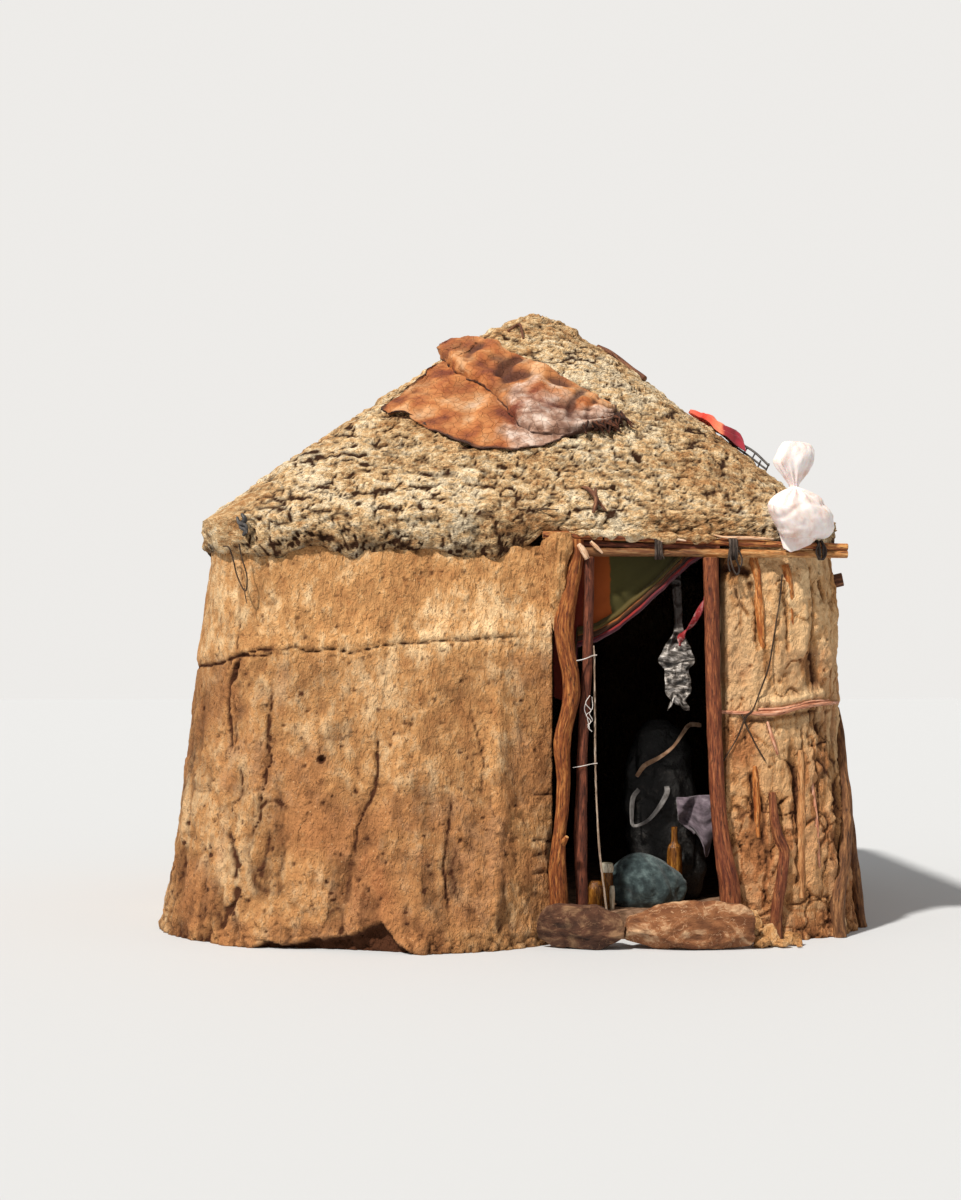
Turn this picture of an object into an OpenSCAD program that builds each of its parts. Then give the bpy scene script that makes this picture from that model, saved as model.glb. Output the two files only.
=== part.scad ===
// Mud-plastered pole hut on a rounded-square plan, with a blunt mud-covered roof of bent rafters.
// Millimetres, +Z up. The origin is on the ground under the middle of the floor; the door faces -Y.

/* [Walls] */
// Half the width of the hut over the outer faces at wall-top height
half_w = 1105; // [1000:5:1400]
// Outer corner radius of the plan at wall-top height
corner_r = 360; // [300:5:400]
// Height of the wall top above the ground
wall_h = 1335; // [1100:5:1600]
// Thickness of the wall at its top
wall_t = 110; // [100:1:150]
// How far the foot of the front wall spreads to the left of the doorway
front_foot = 275; // [60:2:300]
// How far the foot spreads on the left side
left_foot = 225; // [60:2:240]
// How far the foot spreads at the back
back_foot = 130; // [60:2:240]
// How far the foot spreads on the right side
right_foot = 115; // [20:2:240]
// How far the foot spreads beside the doorway
door_foot = 30; // [10:2:60]
// Thickness of the beaten earth floor
floor_h = 90; // [40:5:120]

/* [Doorway] */
// Distance from the middle of the front to the middle of the doorway
door_x = 366; // [340:2:380]
// Width of the gap left in the wall for the doorway and its posts
door_gap = 590; // [560:2:600]
// How far the lower lintel pole lies under the wall top
door_drop = 35; // [20:5:200]
// Radius of the crooked post at its thickest
crooked_r = 33; // [28:1:38]
// Radius of the straight post beside it
straight_r = 22; // [16:1:26]
// Radius of the post on the right of the doorway
jamb_r = 27; // [20:1:32]
// Radius of the lower lintel pole
lintel_low_r = 15; // [10:1:20]
// Radius of the upper lintel pole
lintel_up_r = 13; // [10:1:20]
// How far short of the right wall's outer face the lintel poles end
lintel_short = 28; // [0:2:80]

/* [Roof] */
// Height above the ground where the roof's slopes would meet
roof_peak = 2366; // [2240:2:2700]
// How far the blunt top of the roof lies under that point
top_drop = 46; // [30:2:90]
// How far the roof's top lies to the right of the middle
top_x = 112; // [-150:5:150]
// How far the mud eave stands out past the wall top on the left
left_eave_out = 32; // [15:1:80]
// How far the mud eave stands out past the wall top on the right
right_eave_out = 10; // [6:1:60]
// Height of the eave's blunt edge
eave_h = 98; // [90:1:150]
// How much the roof swells between the eave and the top, as a share of its rise
swell = 0.2; // [0:0.05:0.6]
// Height of the low swells in the roof's mud
heave_h = 10; // [0:1:14]
// How far the mud bulges over a pole end at the front left corner
lump_out = 34; // [0:1:40]
// Depth of the mud over the rafters at the roof's top
mud_depth = 115; // [90:1:140]
// Share of the roof's reach that the crown cap covers
crown_share = 0.12; // [0.1:0.01:0.16]
// Radius of a rafter at its foot
rafter_r = 22; // [16:1:24]
// Radius of a rafter at its tip
rafter_tip_r = 15; // [10:1:16]
// Radius of a lath that ties the rafters together
lath_r = 8; // [6:1:10]

/* [Poles] */
// Radius of a wall-plate pole
plate_r = 21; // [16:1:23]
// Radius of the post in the middle of the room
centre_r = 48; // [35:1:60]
// Radius of the short beam on the middle post
beam_r = 28; // [20:1:36]
// Radius of an upright pole in the right-hand panel
panel_pole_r = 20; // [14:1:26]

/* [Things on the hut] */
// Thickness of a hide
hide_t = 12; // [6:1:16]
// How high the folded hide stands off the roof
fold_h = 45; // [35:1:60]
// How high the red cloth stands off the roof
cloth_h = 45; // [20:1:60]
// Height of the tied sack to the end of its neck
sack_h = 325; // [260:5:400]
// Width of the tied sack
sack_w = 248; // [200:2:280]
// Depth of the tied sack
sack_d = 144; // [100:2:160]
// Width of the door curtain
curtain_w = 510; // [400:5:520]
// Drop of the door curtain at its longest
curtain_drop = 562; // [400:2:700]
// Thickness of the curtain and the rag
curtain_t = 6; // [4:1:8]
// Drop of the rag inside the doorway
rag_drop = 593; // [300:1:700]
// Width of the rag at its top
rag_w = 98; // [60:1:140]
// Height of the bundle on the floor
bundle_h = 185; // [120:5:220]
// Width of the bundle
bundle_w = 282; // [200:2:300]
// Depth of the bundle
bundle_d = 170; // [120:2:180]
// Height of the bag that stands behind it
bag_h = 645; // [400:5:800]
// Width of that bag
bag_w = 310; // [200:2:360]
// Depth of that bag
bag_d = 180; // [120:2:200]

/* [Hidden] */

// Seating gap between pieces that lie on each other
seat = 0.3;
// The roof mud lies on this much of the wall top, and the plate poles behind it
mud_seat = 22;
// Share of the foot's spread that the inner face follows
inner_share = 0.75;
side_w = half_w - corner_r;
door_left = door_x - door_gap / 2;
door_right = door_x + door_gap / 2;
door_h = wall_h - door_drop;
roof_top = roof_peak - top_drop;
roof_axis = [top_x, 0];
eave_low = wall_h + seat;
eave_top = eave_low + eave_h;

mud = "burlywood";
roof_mud = "tan";
bark = "sienna";
red_wood = "peru";
stone = "rosybrown";

function turned(side, p) = [p[0] * cos(side) - p[1] * sin(side), p[0] * sin(side) + p[1] * cos(side)];
function unit(v) = v / norm(v);
function mix(a, b, t) = a + t * (b - a);

// Way round the plan: w runs from 0 to 8. The straight sides are 0 to 1 (front, from left to
// right), 2 to 3 (right), 4 to 5 (back) and 6 to 7 (left), with the rounded corners between them.
side_steps = 6;
corner_steps = 8;
function round_trip(w) = w - 8 * floor(w / 8);
function outline(grow, w) =
    let (part = floor(round_trip(w)), v = round_trip(w) - part, side = 90 * floor(part / 2) - 90)
    part % 2 == 0
    ? turned(side, [half_w + grow, (2 * v - 1) * side_w])
    : turned(side, [side_w, side_w] + (corner_r + grow) * [cos(90 * v), sin(90 * v)]);
function stations(from, to) = [for (part = [floor(from):ceil(to) - 1],
    k = [0:(round_trip(part) % 2 == 0 ? side_steps : corner_steps) - 1])
    let (w = part + k / (round_trip(part) % 2 == 0 ? side_steps : corner_steps))
    if (w > from + 0.02 && w < to - 0.02) w];
function between(from, to) = [from, each stations(from, to), to];
function front_at(x) = (x / side_w + 1) / 2;

// Offset of the foot of the outer face round the plan, and how hollow the face is
foot_round = [[0, 0.55 * front_foot], [0.25, front_foot], [0.42, 0.8 * front_foot],
    [front_at(door_left), 2 * door_foot], [front_at(door_right), door_foot], [1.5, 0.7 * right_foot],
    [2.5, right_foot], [3.5, right_foot], [4.5, back_foot], [5.5, 0.8 * back_foot],
    [6.5, left_foot], [7.5, 0.5 * left_foot], [8, 0.55 * front_foot]];
hollow_round = [[0, 1.1], [front_at(door_left), 1.3], [front_at(door_right), 2], [3.5, 2],
    [4.5, 1.3], [8, 1.1]];
function outer_face(w, z) = lookup(round_trip(w), foot_round)
    * pow(1 - z / wall_h, lookup(round_trip(w), hollow_round));
function inner_face(w, z) = inner_share * outer_face(w, z) - wall_t;

// A solid between two grids of points with the same rows and columns
module between_grids(near, far) {
    last_row = len(near) - 1;
    width = len(near[0]);
    last = width - 1;
    shift = len(near) * width;
    function a(j, k) = j * width + k;
    function b(j, k) = shift + j * width + k;
    faces = [for (j = [0:last_row - 1], k = [0:last - 1]) each [
        [a(j, k), a(j, k + 1), a(j + 1, k + 1)], [a(j, k), a(j + 1, k + 1), a(j + 1, k)],
        [b(j, k), b(j + 1, k + 1), b(j, k + 1)], [b(j, k), b(j + 1, k), b(j + 1, k + 1)]]];
    rims = [for (j = [0:last_row - 1]) each [
        [a(j, 0), a(j + 1, 0), b(j + 1, 0)], [a(j, 0), b(j + 1, 0), b(j, 0)],
        [a(j + 1, last), a(j, last), b(j, last)], [a(j + 1, last), b(j, last), b(j + 1, last)]]];
    ends = [for (k = [0:last - 1]) each [
        [a(0, k + 1), a(0, k), b(0, k + 1)], [a(0, k), b(0, k), b(0, k + 1)],
        [a(last_row, k), a(last_row, k + 1), b(last_row, k + 1)],
        [a(last_row, k), b(last_row, k + 1), b(last_row, k)]]];
    polyhedron([for (row = near) each row, for (row = far) each row], concat(faces, rims, ends));
}

// A crooked limb: rings of points along a path, with a radius for each path point
limb_sides = 8;
function heading(path, i) = unit(path[min(i + 1, len(path) - 1)] - path[max(i - 1, 0)]);
function ring(centre, along, r) =
    let (across = unit(cross(along, abs(along[2]) > 0.9 ? [0, 1, 0] : [0, 0, 1])), up = cross(across, along))
    [for (k = [0:limb_sides - 1])
        centre + r * (cos(360 * k / limb_sides) * across + sin(360 * k / limb_sides) * up)];
module skin(rings, closed = false) {
    rows = len(rings);
    function at(i, k) = (i % rows) * limb_sides + k % limb_sides;
    around = [for (i = [0:rows - (closed ? 1 : 2)], k = [0:limb_sides - 1]) each [
        [at(i, k), at(i, k + 1), at(i + 1, k + 1)], [at(i, k), at(i + 1, k + 1), at(i + 1, k)]]];
    caps = closed ? [] : [for (k = [1:limb_sides - 2]) each [
        [at(0, 0), at(0, k + 1), at(0, k)], [at(rows - 1, 0), at(rows - 1, k), at(rows - 1, k + 1)]]];
    polyhedron([for (r = rings) each r], concat(around, caps));
}
module limb(path, radii) {
    skin([for (i = [0:len(path) - 1]) ring(path[i], heading(path, i), radii[i])]);
}
module round_pole(from, to, r_from, r_to) {
    d = to - from;
    translate(from)
        rotate([0, acos(d[2] / norm(d)), atan2(d[1], d[0])])
            cylinder(h = norm(d), r1 = r_from, r2 = r_to, $fn = 24);
}

// Walls
wall_levels = [0, 0.07, 0.2, 0.4, 0.6, 0.8, 1];
function face_point(offset, w, z) = [each outline(offset, w), z];
module wall_run(from, to) {
    ways = between(from, to);
    color(mud) between_grids(
        [for (w = ways) [for (t = wall_levels) face_point(outer_face(w, t * wall_h), w, t * wall_h)]],
        [for (w = ways) [for (t = wall_levels) face_point(inner_face(w, t * wall_h), w, t * wall_h)]]);
}
module front_wall_left() wall_run(0, front_at(door_left));
module front_wall_right() wall_run(front_at(door_right), 2);
module right_wall() wall_run(2, 3);
module back_right_corner_wall() wall_run(3, 4);
module back_wall() wall_run(4, 5);
module back_left_corner_wall() wall_run(5, 6);
module left_wall() wall_run(6, 7);
module front_left_corner_wall() wall_run(7, 8);

// Beaten floor with a tongue through the doorway
function floor_edge(w) = outline(inner_face(w, floor_h) - seat, w);
module earth_floor() {
    // The tongue stops behind the door posts
    tongue_y = half_w - jamb_r;
    color(mud) linear_extrude(floor_h) {
        polygon([for (w = [each between(0, front_at(door_left)), each between(front_at(door_right), 8)])
            floor_edge(w)]);
        translate([door_left + seat, -tongue_y]) square([door_gap - 2 * seat, tongue_y - side_w]);
    }
}

// Wall plates bent round the corners, half a corner each way
plate_back = 6;
plate_offset = -(mud_seat + plate_r + wall_t) / 2 - plate_back;
plate_z = wall_h + seat + plate_r;
plate_gap = 0.01;
function plate_point(w) = face_point(plate_offset, w, plate_z);
module plate_pole(side) {
    ways = between(side - 0.5 + plate_gap, side + 1.5 - plate_gap);
    color(bark) limb([for (w = ways) plate_point(w)], [for (w = ways) plate_r]);
}
module front_plate_pole() plate_pole(0);
module right_plate_pole() plate_pole(2);
module back_plate_pole() plate_pole(4);
module left_plate_pole() plate_pole(6);

// Roof surfaces. q runs from 1 at the eave to 0 at the roof's axis.
function swollen(q) = (1 - q) * (1 + swell * q);
function roof_plan(grow, w, q) =
    let (edge = outline(grow, w), circle = norm([half_w + grow, side_w / 2]) * unit(edge))
    mix(roof_axis, mix(circle, edge, q), q);
under_rise = 80;
under_low = eave_low + under_rise;
function lump(w) = lump_out * exp(-pow((round_trip(w) - 7.45) / 0.16, 2));
function eave_reach(w) =
    lookup(round_trip(w),
        [[0.5, left_eave_out], [1.2, right_eave_out], [3, right_eave_out], [5, left_eave_out]]) + lump(w);
// Low swells where the mud was laid on by the handful: two crossing waves that die out at the eave
// and at the crown
function heave(w, q) = heave_h / 2 * sin(180 * max(0, (q - crown_share) / (1 - crown_share)))
    * (sin(720 * w + 900 * q) + sin(1080 * w - 1500 * q + 40));
function outer_roof(w, q) =
    [each roof_plan(eave_reach(w), w, q), mix(eave_top, roof_peak, swollen(q)) + heave(w, q)];
function under_roof(w, q) =
    [each roof_plan(-mud_seat, w, q), mix(under_low, roof_peak - mud_depth, swollen(q))];
function under_normal(w, q) =
    let (dw = 0.02, dq = 0.02)
    unit(cross(under_roof(w + dw, q) - under_roof(w - dw, q), under_roof(w, q - dq) - under_roof(w, q + dq)));
eave_tuck = 0.4;
roof_shares = [1, 0.88, 0.75, 0.62, 0.49, 0.36, 0.24, crown_share];
// The eave is higher over the doorway, where it clears the upper lintel pole
eave_clear = 10;
function lifted(w) = lookup(round_trip(w), [[0.42, 0], [0.5, 1], [1.4, 1], [1.6, 0]]);
function eave_foot(w) = mix(eave_low, lintel_top + eave_clear, lifted(w));
module roof_gore(from, to) {
    ways = between(from, to);
    color(roof_mud) between_grids(
        [for (w = ways) [face_point(eave_tuck * eave_reach(w), w, eave_foot(w)),
            face_point(eave_reach(w), w, mix(eave_foot(w), eave_top, 0.5)),
            each [for (q = roof_shares) outer_roof(w, q)]]],
        [for (w = ways) [face_point(-mud_seat, w, eave_foot(w)),
            face_point(-mud_seat, w, mix(eave_foot(w), under_low, 0.5)),
            each [for (q = roof_shares) under_roof(w, q)]]]);
}
module front_roof_mud() roof_gore(0, 1);
module front_right_roof_mud() roof_gore(1, 2);
module right_roof_mud() roof_gore(2, 3);
module back_right_roof_mud() roof_gore(3, 4);
module back_roof_mud() roof_gore(4, 5);
module back_left_roof_mud() roof_gore(5, 6);
module left_roof_mud() roof_gore(6, 7);
module front_left_roof_mud() roof_gore(7, 8);
rim_depth = outer_roof(0, crown_share)[2] - under_roof(0, crown_share)[2];
module roof_crown() {
    ways = stations(-0.1, 7.99);
    count = len(ways);
    steps = [crown_share, 0.08, 0.04];
    rim_z = outer_roof(0, crown_share)[2];
    function blunt(q) = mix(roof_top, rim_z, pow(q / crown_share, 2));
    above = [for (q = steps) each [for (w = ways) [each roof_plan(eave_reach(w), w, q), blunt(q)]]];
    below = [for (q = steps) each [for (w = ways) [each roof_plan(-mud_seat, w, q), blunt(q) - rim_depth]]];
    inner = len(steps) * count;
    function up(s, k) = s * count + k % count;
    function down(s, k) = inner + s * count + k % count;
    tip = 2 * inner;
    faces = [for (k = [0:count - 1]) each concat(
        [for (s = [0:len(steps) - 2]) each [
            [up(s, k), up(s + 1, k), up(s + 1, k + 1)], [up(s, k), up(s + 1, k + 1), up(s, k + 1)],
            [down(s, k), down(s + 1, k + 1), down(s + 1, k)],
            [down(s, k), down(s, k + 1), down(s + 1, k + 1)]]],
        [[up(len(steps) - 1, k), tip, up(len(steps) - 1, k + 1)],
            [down(len(steps) - 1, k), down(len(steps) - 1, k + 1), tip + 1],
            [up(0, k), up(0, k + 1), down(0, k)], [up(0, k + 1), down(0, k + 1), down(0, k)]])];
    color(roof_mud) polyhedron([each above, each below, [each roof_axis, roof_top],
        [each roof_axis, roof_top - rim_depth]], faces);
}

// Rafters stand on the plates and follow the underside of the mud, with the laths between
rafter_tip = 0.15;
hoop_share = 0.19;
tip_clear = 3;
function foot_drop(w) = (under_roof(w, 1) - plate_point(w)) * under_normal(w, 1)
    - plate_r - rafter_r - seat;
function rafter_girth(q) = mix(rafter_tip_r, rafter_r, q);
function rafter_point(w, q) = under_roof(w, q)
    - under_normal(w, q) * mix(2 * lath_r + rafter_tip_r + tip_clear, foot_drop(w), q);
rafter_shares = [1, 0.88, 0.75, 0.62, 0.49, 0.36, 0.24, rafter_tip];
module rafters(side) {
    color(bark) for (w = [side + 1 / 6, side + 1 / 2, side + 5 / 6, side + 3 / 2])
        limb([for (q = rafter_shares) rafter_point(w, q)], [for (q = rafter_shares) rafter_girth(q)]);
}
module front_rafters() rafters(0);
module right_rafters() rafters(2);
module back_rafters() rafters(4);
module left_rafters() rafters(6);

// A hoop that lies on the rafters, or under them with a negative side
function hoop_point(w, q, r, side) = rafter_point(w, q)
    + side * (rafter_girth(q) + r + seat) * under_normal(w, q);
module hoop(q, r, side) {
    ways = stations(-0.1, 7.99);
    path = [for (w = ways) hoop_point(w, q, r, side)];
    n = len(path);
    skin([for (i = [0:n - 1])
        let (along = unit(path[(i + 1) % n] - path[(i + n - 1) % n]), up = under_normal(ways[i], q),
            across = unit(cross(along, up)), top = cross(across, along))
        [for (k = [0:limb_sides - 1])
            path[i] + r * (cos(360 * k / limb_sides) * across + sin(360 * k / limb_sides) * top)]],
        closed = true);
}
module lath_hoops() color(bark) for (q = [0.88, 0.62, 0.36]) hoop(q, lath_r, 1);
module crown_hoop() color(bark) hoop(hoop_share, rafter_tip_r, -1);

// The beam across the crown hoop lies on the middle post
beam_top = hoop_point(0.5, hoop_share, rafter_tip_r, -1)[2] - rafter_tip_r - seat;
beam_half = -hoop_point(0.5, hoop_share, rafter_tip_r, -1)[1] + 2 * beam_r;
module crown_beam() color(bark)
    round_pole([each roof_axis, 0] + [0, -beam_half, beam_top - beam_r],
        [each roof_axis, 0] + [0, beam_half, beam_top - beam_r], beam_r, beam_r);
module centre_post() color(bark)
    round_pole([each roof_axis, floor_h + seat], [each roof_axis, beam_top - 2 * beam_r - seat],
        centre_r, 0.8 * centre_r);

// Doorway. The lower lintel pole lies on two of the posts, and the upper one on it and on the
// crooked post. Both taper and fall a little to the right.
lintel_clear = 2;
lintel_y = half_w + lintel_low_r + lintel_clear;
lintel_over = 30;
lintel_left = door_left - lintel_over;
lintel_right = half_w - lintel_short;
lintel_taper = 0.15;
lintel_fall = 6;
lintel_tilt = 30;
lintel_top = door_h + lintel_tilt + 2 * (lintel_low_r + lintel_up_r + seat);
function lintel_share(x) = (x - lintel_left) / (lintel_right - lintel_left);
function low_r(x) = lintel_low_r * (1 - lintel_taper * lintel_share(x));
function up_r(x) = lintel_up_r * (1 - lintel_taper * lintel_share(x));
function low_z(x) = door_h + seat + lintel_low_r - lintel_fall * lintel_share(x);
function up_z(x) = low_z(x) + low_r(x) + up_r(x) + seat + lintel_tilt * (1 - lintel_share(x));
module lintel(from, height, girth) color(red_wood)
    round_pole([from, -lintel_y, height(from)], [lintel_right, -lintel_y, height(lintel_right)],
        girth(from), girth(lintel_right));
low_lintel_in = 112;
module lower_lintel_pole() lintel(door_left + low_lintel_in, function(x) low_z(x), function(x) low_r(x));
module upper_lintel_pole() lintel(lintel_left, function(x) up_z(x), function(x) up_r(x));

// The crooked post: share of its height, and sideways shift as a share of its radius
bends = [[0, 0], [0.02, 0], [0.12, -0.1], [0.2, -0.3], [0.27, -0.15], [0.34, 0.12], [0.41, 0.3],
    [0.48, 0.12], [0.56, 0.65], [0.62, 1.1], [0.66, 1.1], [0.71, 0.8], [0.76, 0.48], [0.8, 0.42],
    [0.86, 0.88], [0.92, 1.4], [0.97, 1.8], [1, 1.8]];
crooked_tip = bends[len(bends) - 1];
post_lean = 45;
crooked_in = 25;
crooked_x = door_left + crooked_in;
crooked_tip_x = crooked_x + crooked_tip[1] * crooked_r;
crooked_top = up_z(crooked_tip_x) - up_r(crooked_tip_x) - 2 * seat;
crooked_foot_y = half_w + crooked_r + post_lean;
function crooked_point(share, shift) = [crooked_x + shift * crooked_r,
    -mix(crooked_foot_y, lintel_y, share * min(1, 1.1 * share)), share * crooked_top];
module crooked_door_post() color(bark)
    limb([for (b = bends) crooked_point(b[0], b[1])], [for (b = bends) crooked_r * (1 - 0.4 * pow(b[0], 3))]);

// The straight post beside it leans a little to the right
straight_in = [95, 126];
straight_out = 25;
function under_lintel(x) = low_z(x) - low_r(x) - seat;
module straight_door_post() color(red_wood)
    round_pole([door_left + straight_in[0], -(half_w + straight_out), 1],
        [door_left + straight_in[1], -lintel_y, under_lintel(door_left + straight_in[1]) - 2 * seat],
        straight_r, 0.85 * straight_r);

// The right post: share of the doorway's height, distance in from the doorway's right side, distance
// out from the wall, and girth
jamb_foot_r = 1.35 * jamb_r;
jamb_clear = 3;
jamb_foot_y = half_w + door_foot + jamb_foot_r + jamb_clear;
jamb_out = lintel_y + 8 - half_w;
jamb_bends = [[0, -8, jamb_foot_y - half_w, 1.35], [0.015, -8, jamb_foot_y - half_w, 1.35],
    [0.3, 25, 50, 0.95], [0.5, 45, 36, 0.85], [0.97, 52, jamb_out, 1]];
jamb_x = door_right - jamb_bends[4][1];
module right_door_post() color(red_wood)
    limb([for (b = jamb_bends) [door_right - b[1], -(half_w + b[2]), b[0] * door_h],
            [jamb_x, -(half_w + jamb_out), under_lintel(jamb_x)]],
        [for (b = jamb_bends) b[3] * jamb_r, jamb_r]);

// Poles that show through the broken plaster right of the doorway. Each lies on the outer face.
function on_face(w, z, h) = face_point(outer_face(w, z) + h, w, z);
// The way is one number for an upright pole, and one for each level for a pole that leans.
module face_pole(ways, levels, r) {
    function girth(t) = r * (1 - 0.2 * t);
    function way(i) = is_list(ways) ? ways[i] : ways;
    // A pole that stands on the ground starts upright, so that its foot is level
    upright = [0, 0, 0.01 * wall_h];
    standing = levels[0] == 0;
    path = [if (standing) on_face(way(0), 0, r + seat),
        for (i = [0:len(levels) - 1]) on_face(way(i), levels[i] * wall_h, girth(levels[i]) + seat)
            + (levels[i] == 0 ? upright : [0, 0, 0])];
    color(red_wood) limb(path, [if (standing) r, for (t = levels) girth(t)]);
}
corner_way = 1 / corner_steps;
module panel_poles() {
    face_pole(1 + corner_way, [0, 0.2, 0.4], panel_pole_r);
    face_pole(1 + corner_way, [0.8, 0.9, 0.96], 0.7 * panel_pole_r);
    face_pole(1 + 2 * corner_way, [0.8, 0.9, 0.96], 0.8 * panel_pole_r);
    face_pole(1 + 3 * corner_way, [0.07, 0.2, 0.4, 0.5], 0.7 * panel_pole_r);
}
module leaning_poles() {
    face_pole([for (k = [4, 4, 5, 6, 7]) 1 + k * corner_way], [0, 0.07, 0.2, 0.4, 0.6], 1.2 * panel_pole_r);
    face_pole(1 + 7 * corner_way, [0, 0.07, 0.2, 0.3], panel_pole_r);
}

// Threshold stones
left_stone = [290, 125, 150];
right_stone = [430, 135, 165];
stone_left = door_left - 65;
module threshold(x, back, size, lean) color(stone) translate([x, -back - size[1] - seat, 0]) hull() {
    linear_extrude(size[2] / 2)
        polygon([[20, 0], [size[0] - 60, 8], [size[0], 40], [size[0] - 10, size[1]], [30, size[1]], [0, 50]]);
    translate([0, 0, 0.6 * size[2]]) linear_extrude(0.4 * size[2])
        polygon([[45, lean], [size[0] - 80, lean + 6], [size[0] - 30, lean + 30],
            [size[0] - 30, size[1] - 12], [50, size[1] - 20], [20, lean + 40]]);
}
module left_threshold_stone() threshold(stone_left, crooked_foot_y + crooked_r, left_stone, 12);
module right_threshold_stone()
    threshold(stone_left + left_stone[0] + seat, jamb_foot_y + jamb_foot_r, right_stone, 15);

// Things laid on the roof: patches whose edges follow the facets of the mud
function rings_between(from, to) =
    [from, each [for (q = roof_shares) if (q < from - 0.01 && q > to + 0.01) q], to];
function roof_out(w, q) =
    let (dw = 0.02, dq = 0.02)
    unit(cross(outer_roof(w + dw, q) - outer_roof(w - dw, q), outer_roof(w, q - dq) - outer_roof(w, q + dq)));
module laid(w_from, w_to, q_from, q_to, low, high) {
    ways = between(w_from, w_to);
    shares = rings_between(q_from, q_to);
    between_grids([for (w = ways) [for (q = shares) outer_roof(w, q) + high * roof_out(w, q)]],
        [for (w = ways) [for (q = shares) outer_roof(w, q) + low * roof_out(w, q)]]);
}
module flat_hide() color("peru") laid(-0.5, 1 / 3, 0.62, 0.36, seat, hide_t);
module folded_hide() color("chocolate") laid(1 / 6, 5 / 6, 0.75, 0.24, hide_t + seat, hide_t + fold_h);
module red_cloth() color("firebrick") laid(1.875, 2 + 1 / 6, 0.75, 0.62, seat, cloth_h);

// A soft bag. Each level is [share of height, of half width, of half depth, sideways shift / width].
bag_sides = 16;
module bag(centre, turn, size, levels) {
    count = len(levels);
    function at(i, k) = i * bag_sides + k % bag_sides;
    translate(centre) rotate(turn)
        polyhedron([for (v = levels, k = [0:bag_sides - 1])
            [v[3] * size[0] + v[1] * size[0] / 2 * cos(360 * k / bag_sides),
                v[2] * size[1] / 2 * sin(360 * k / bag_sides), v[0] * size[2]]],
            concat([for (i = [0:count - 2], k = [0:bag_sides - 1]) each [
                [at(i, k), at(i + 1, k + 1), at(i, k + 1)], [at(i, k), at(i + 1, k), at(i + 1, k + 1)]]],
                [[for (k = [0:bag_sides - 1]) at(0, k)]],
                [[for (k = [bag_sides - 1:-1:0]) at(count - 1, k)]]));
}
// The tied sack hangs against the eave over the lintel poles
sack_way = 1.25;
sack_clear = 3;
sack_low = up_z(side_w) + up_r(side_w) + sack_clear;
sack_place = [each outline(eave_reach(sack_way) + sack_d / 2 + seat, sack_way), sack_low];
module tied_sack() color("mistyrose")
    bag(sack_place, 22.5, [sack_w, sack_d, sack_h],
        [[0, 0.4, 0.42, 0], [0.04, 0.77, 0.76, 0], [0.11, 0.95, 0.94, 0], [0.18, 1, 1, 0],
            [0.31, 0.84, 0.83, -0.02], [0.42, 0.4, 0.47, -0.06], [0.47, 0.14, 0.19, -0.09],
            [0.55, 0.34, 0.36, -0.1], [0.74, 0.6, 0.42, -0.1], [1, 0.68, 0.33, -0.09]]);

// The curtain hangs on the front of the plate pole, and the rag behind it
plate_y = -(half_w + plate_offset);
curtain_in = 14;
rag_in = 380;
hang_up = [6, 12];
module hung(x, y, top, size, shares) translate([x, y, plate_z + top]) rotate([90, 0, 0])
    linear_extrude(curtain_t) polygon([for (p = shares) [p[0] * size[0], p[1] * size[1]]]);
module door_curtain() color("darkolivegreen")
    hung(door_left + curtain_in, plate_y - plate_r - seat, hang_up[0], [curtain_w, curtain_drop],
        [[0, 0], [1, 0], [1, -0.11], [0.9, -0.157], [0.58, -0.43], [0.294, -0.617], [0.15, -0.644],
            [0.13, -1], [0.012, -0.964]]);
module hanging_rag() color("silver")
    hung(door_left + rag_in, plate_y + plate_r + seat + curtain_t, hang_up[1], [rag_w, rag_drop],
        [[0, 0], [1, 0], [1.08, -0.62], [0.82, -0.99], [0.51, -0.907], [0.15, -1], [-0.04, -0.553]]);

// The bundle lies just inside the doorway, and the standing bag behind it
inside = half_w - wall_t;
bundle_in = 10;
bag_in = 13;
bundle_right = 58;
bag_right = 145;
bundle_place = [door_x + bundle_right, -(inside - bundle_in - bundle_d / 2), floor_h + seat];
bag_place = [door_x + bag_right, -(inside - bundle_in - bundle_d - bag_in - bag_d / 2), floor_h + seat];
module bundle() color("darkslategray") bag(bundle_place, 0, [bundle_w, bundle_d, bundle_h],
    [[0, 0.78, 0.73, 0], [0.16, 0.98, 0.96, 0], [0.4, 1, 1, 0], [0.65, 0.84, 0.85, -0.03],
        [0.86, 0.52, 0.56, -0.06], [1, 0.18, 0.21, -0.07]]);
module standing_bag() color("dimgray") bag(bag_place, 0, [bag_w, bag_d, bag_h],
    [[0, 0.77, 0.73, 0], [0.09, 0.95, 0.96, 0], [0.34, 1, 1, 0], [0.62, 0.9, 0.93, -0.02],
        [0.84, 0.76, 0.78, -0.05], [0.95, 0.54, 0.58, -0.06], [1, 0.22, 0.27, -0.08]]);

earth_floor();
front_wall_left();
front_wall_right();
right_wall();
back_right_corner_wall();
back_wall();
back_left_corner_wall();
left_wall();
front_left_corner_wall();
front_plate_pole();
right_plate_pole();
back_plate_pole();
left_plate_pole();
crooked_door_post();
straight_door_post();
right_door_post();
lower_lintel_pole();
upper_lintel_pole();
panel_poles();
leaning_poles();
centre_post();
crown_beam();
crown_hoop();
lath_hoops();
front_rafters();
right_rafters();
back_rafters();
left_rafters();
front_roof_mud();
front_right_roof_mud();
right_roof_mud();
back_right_roof_mud();
back_roof_mud();
back_left_roof_mud();
left_roof_mud();
front_left_roof_mud();
roof_crown();
left_threshold_stone();
right_threshold_stone();
flat_hide();
folded_hide();
tied_sack();
red_cloth();
door_curtain();
bundle();
standing_bag();
hanging_rag();
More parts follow.
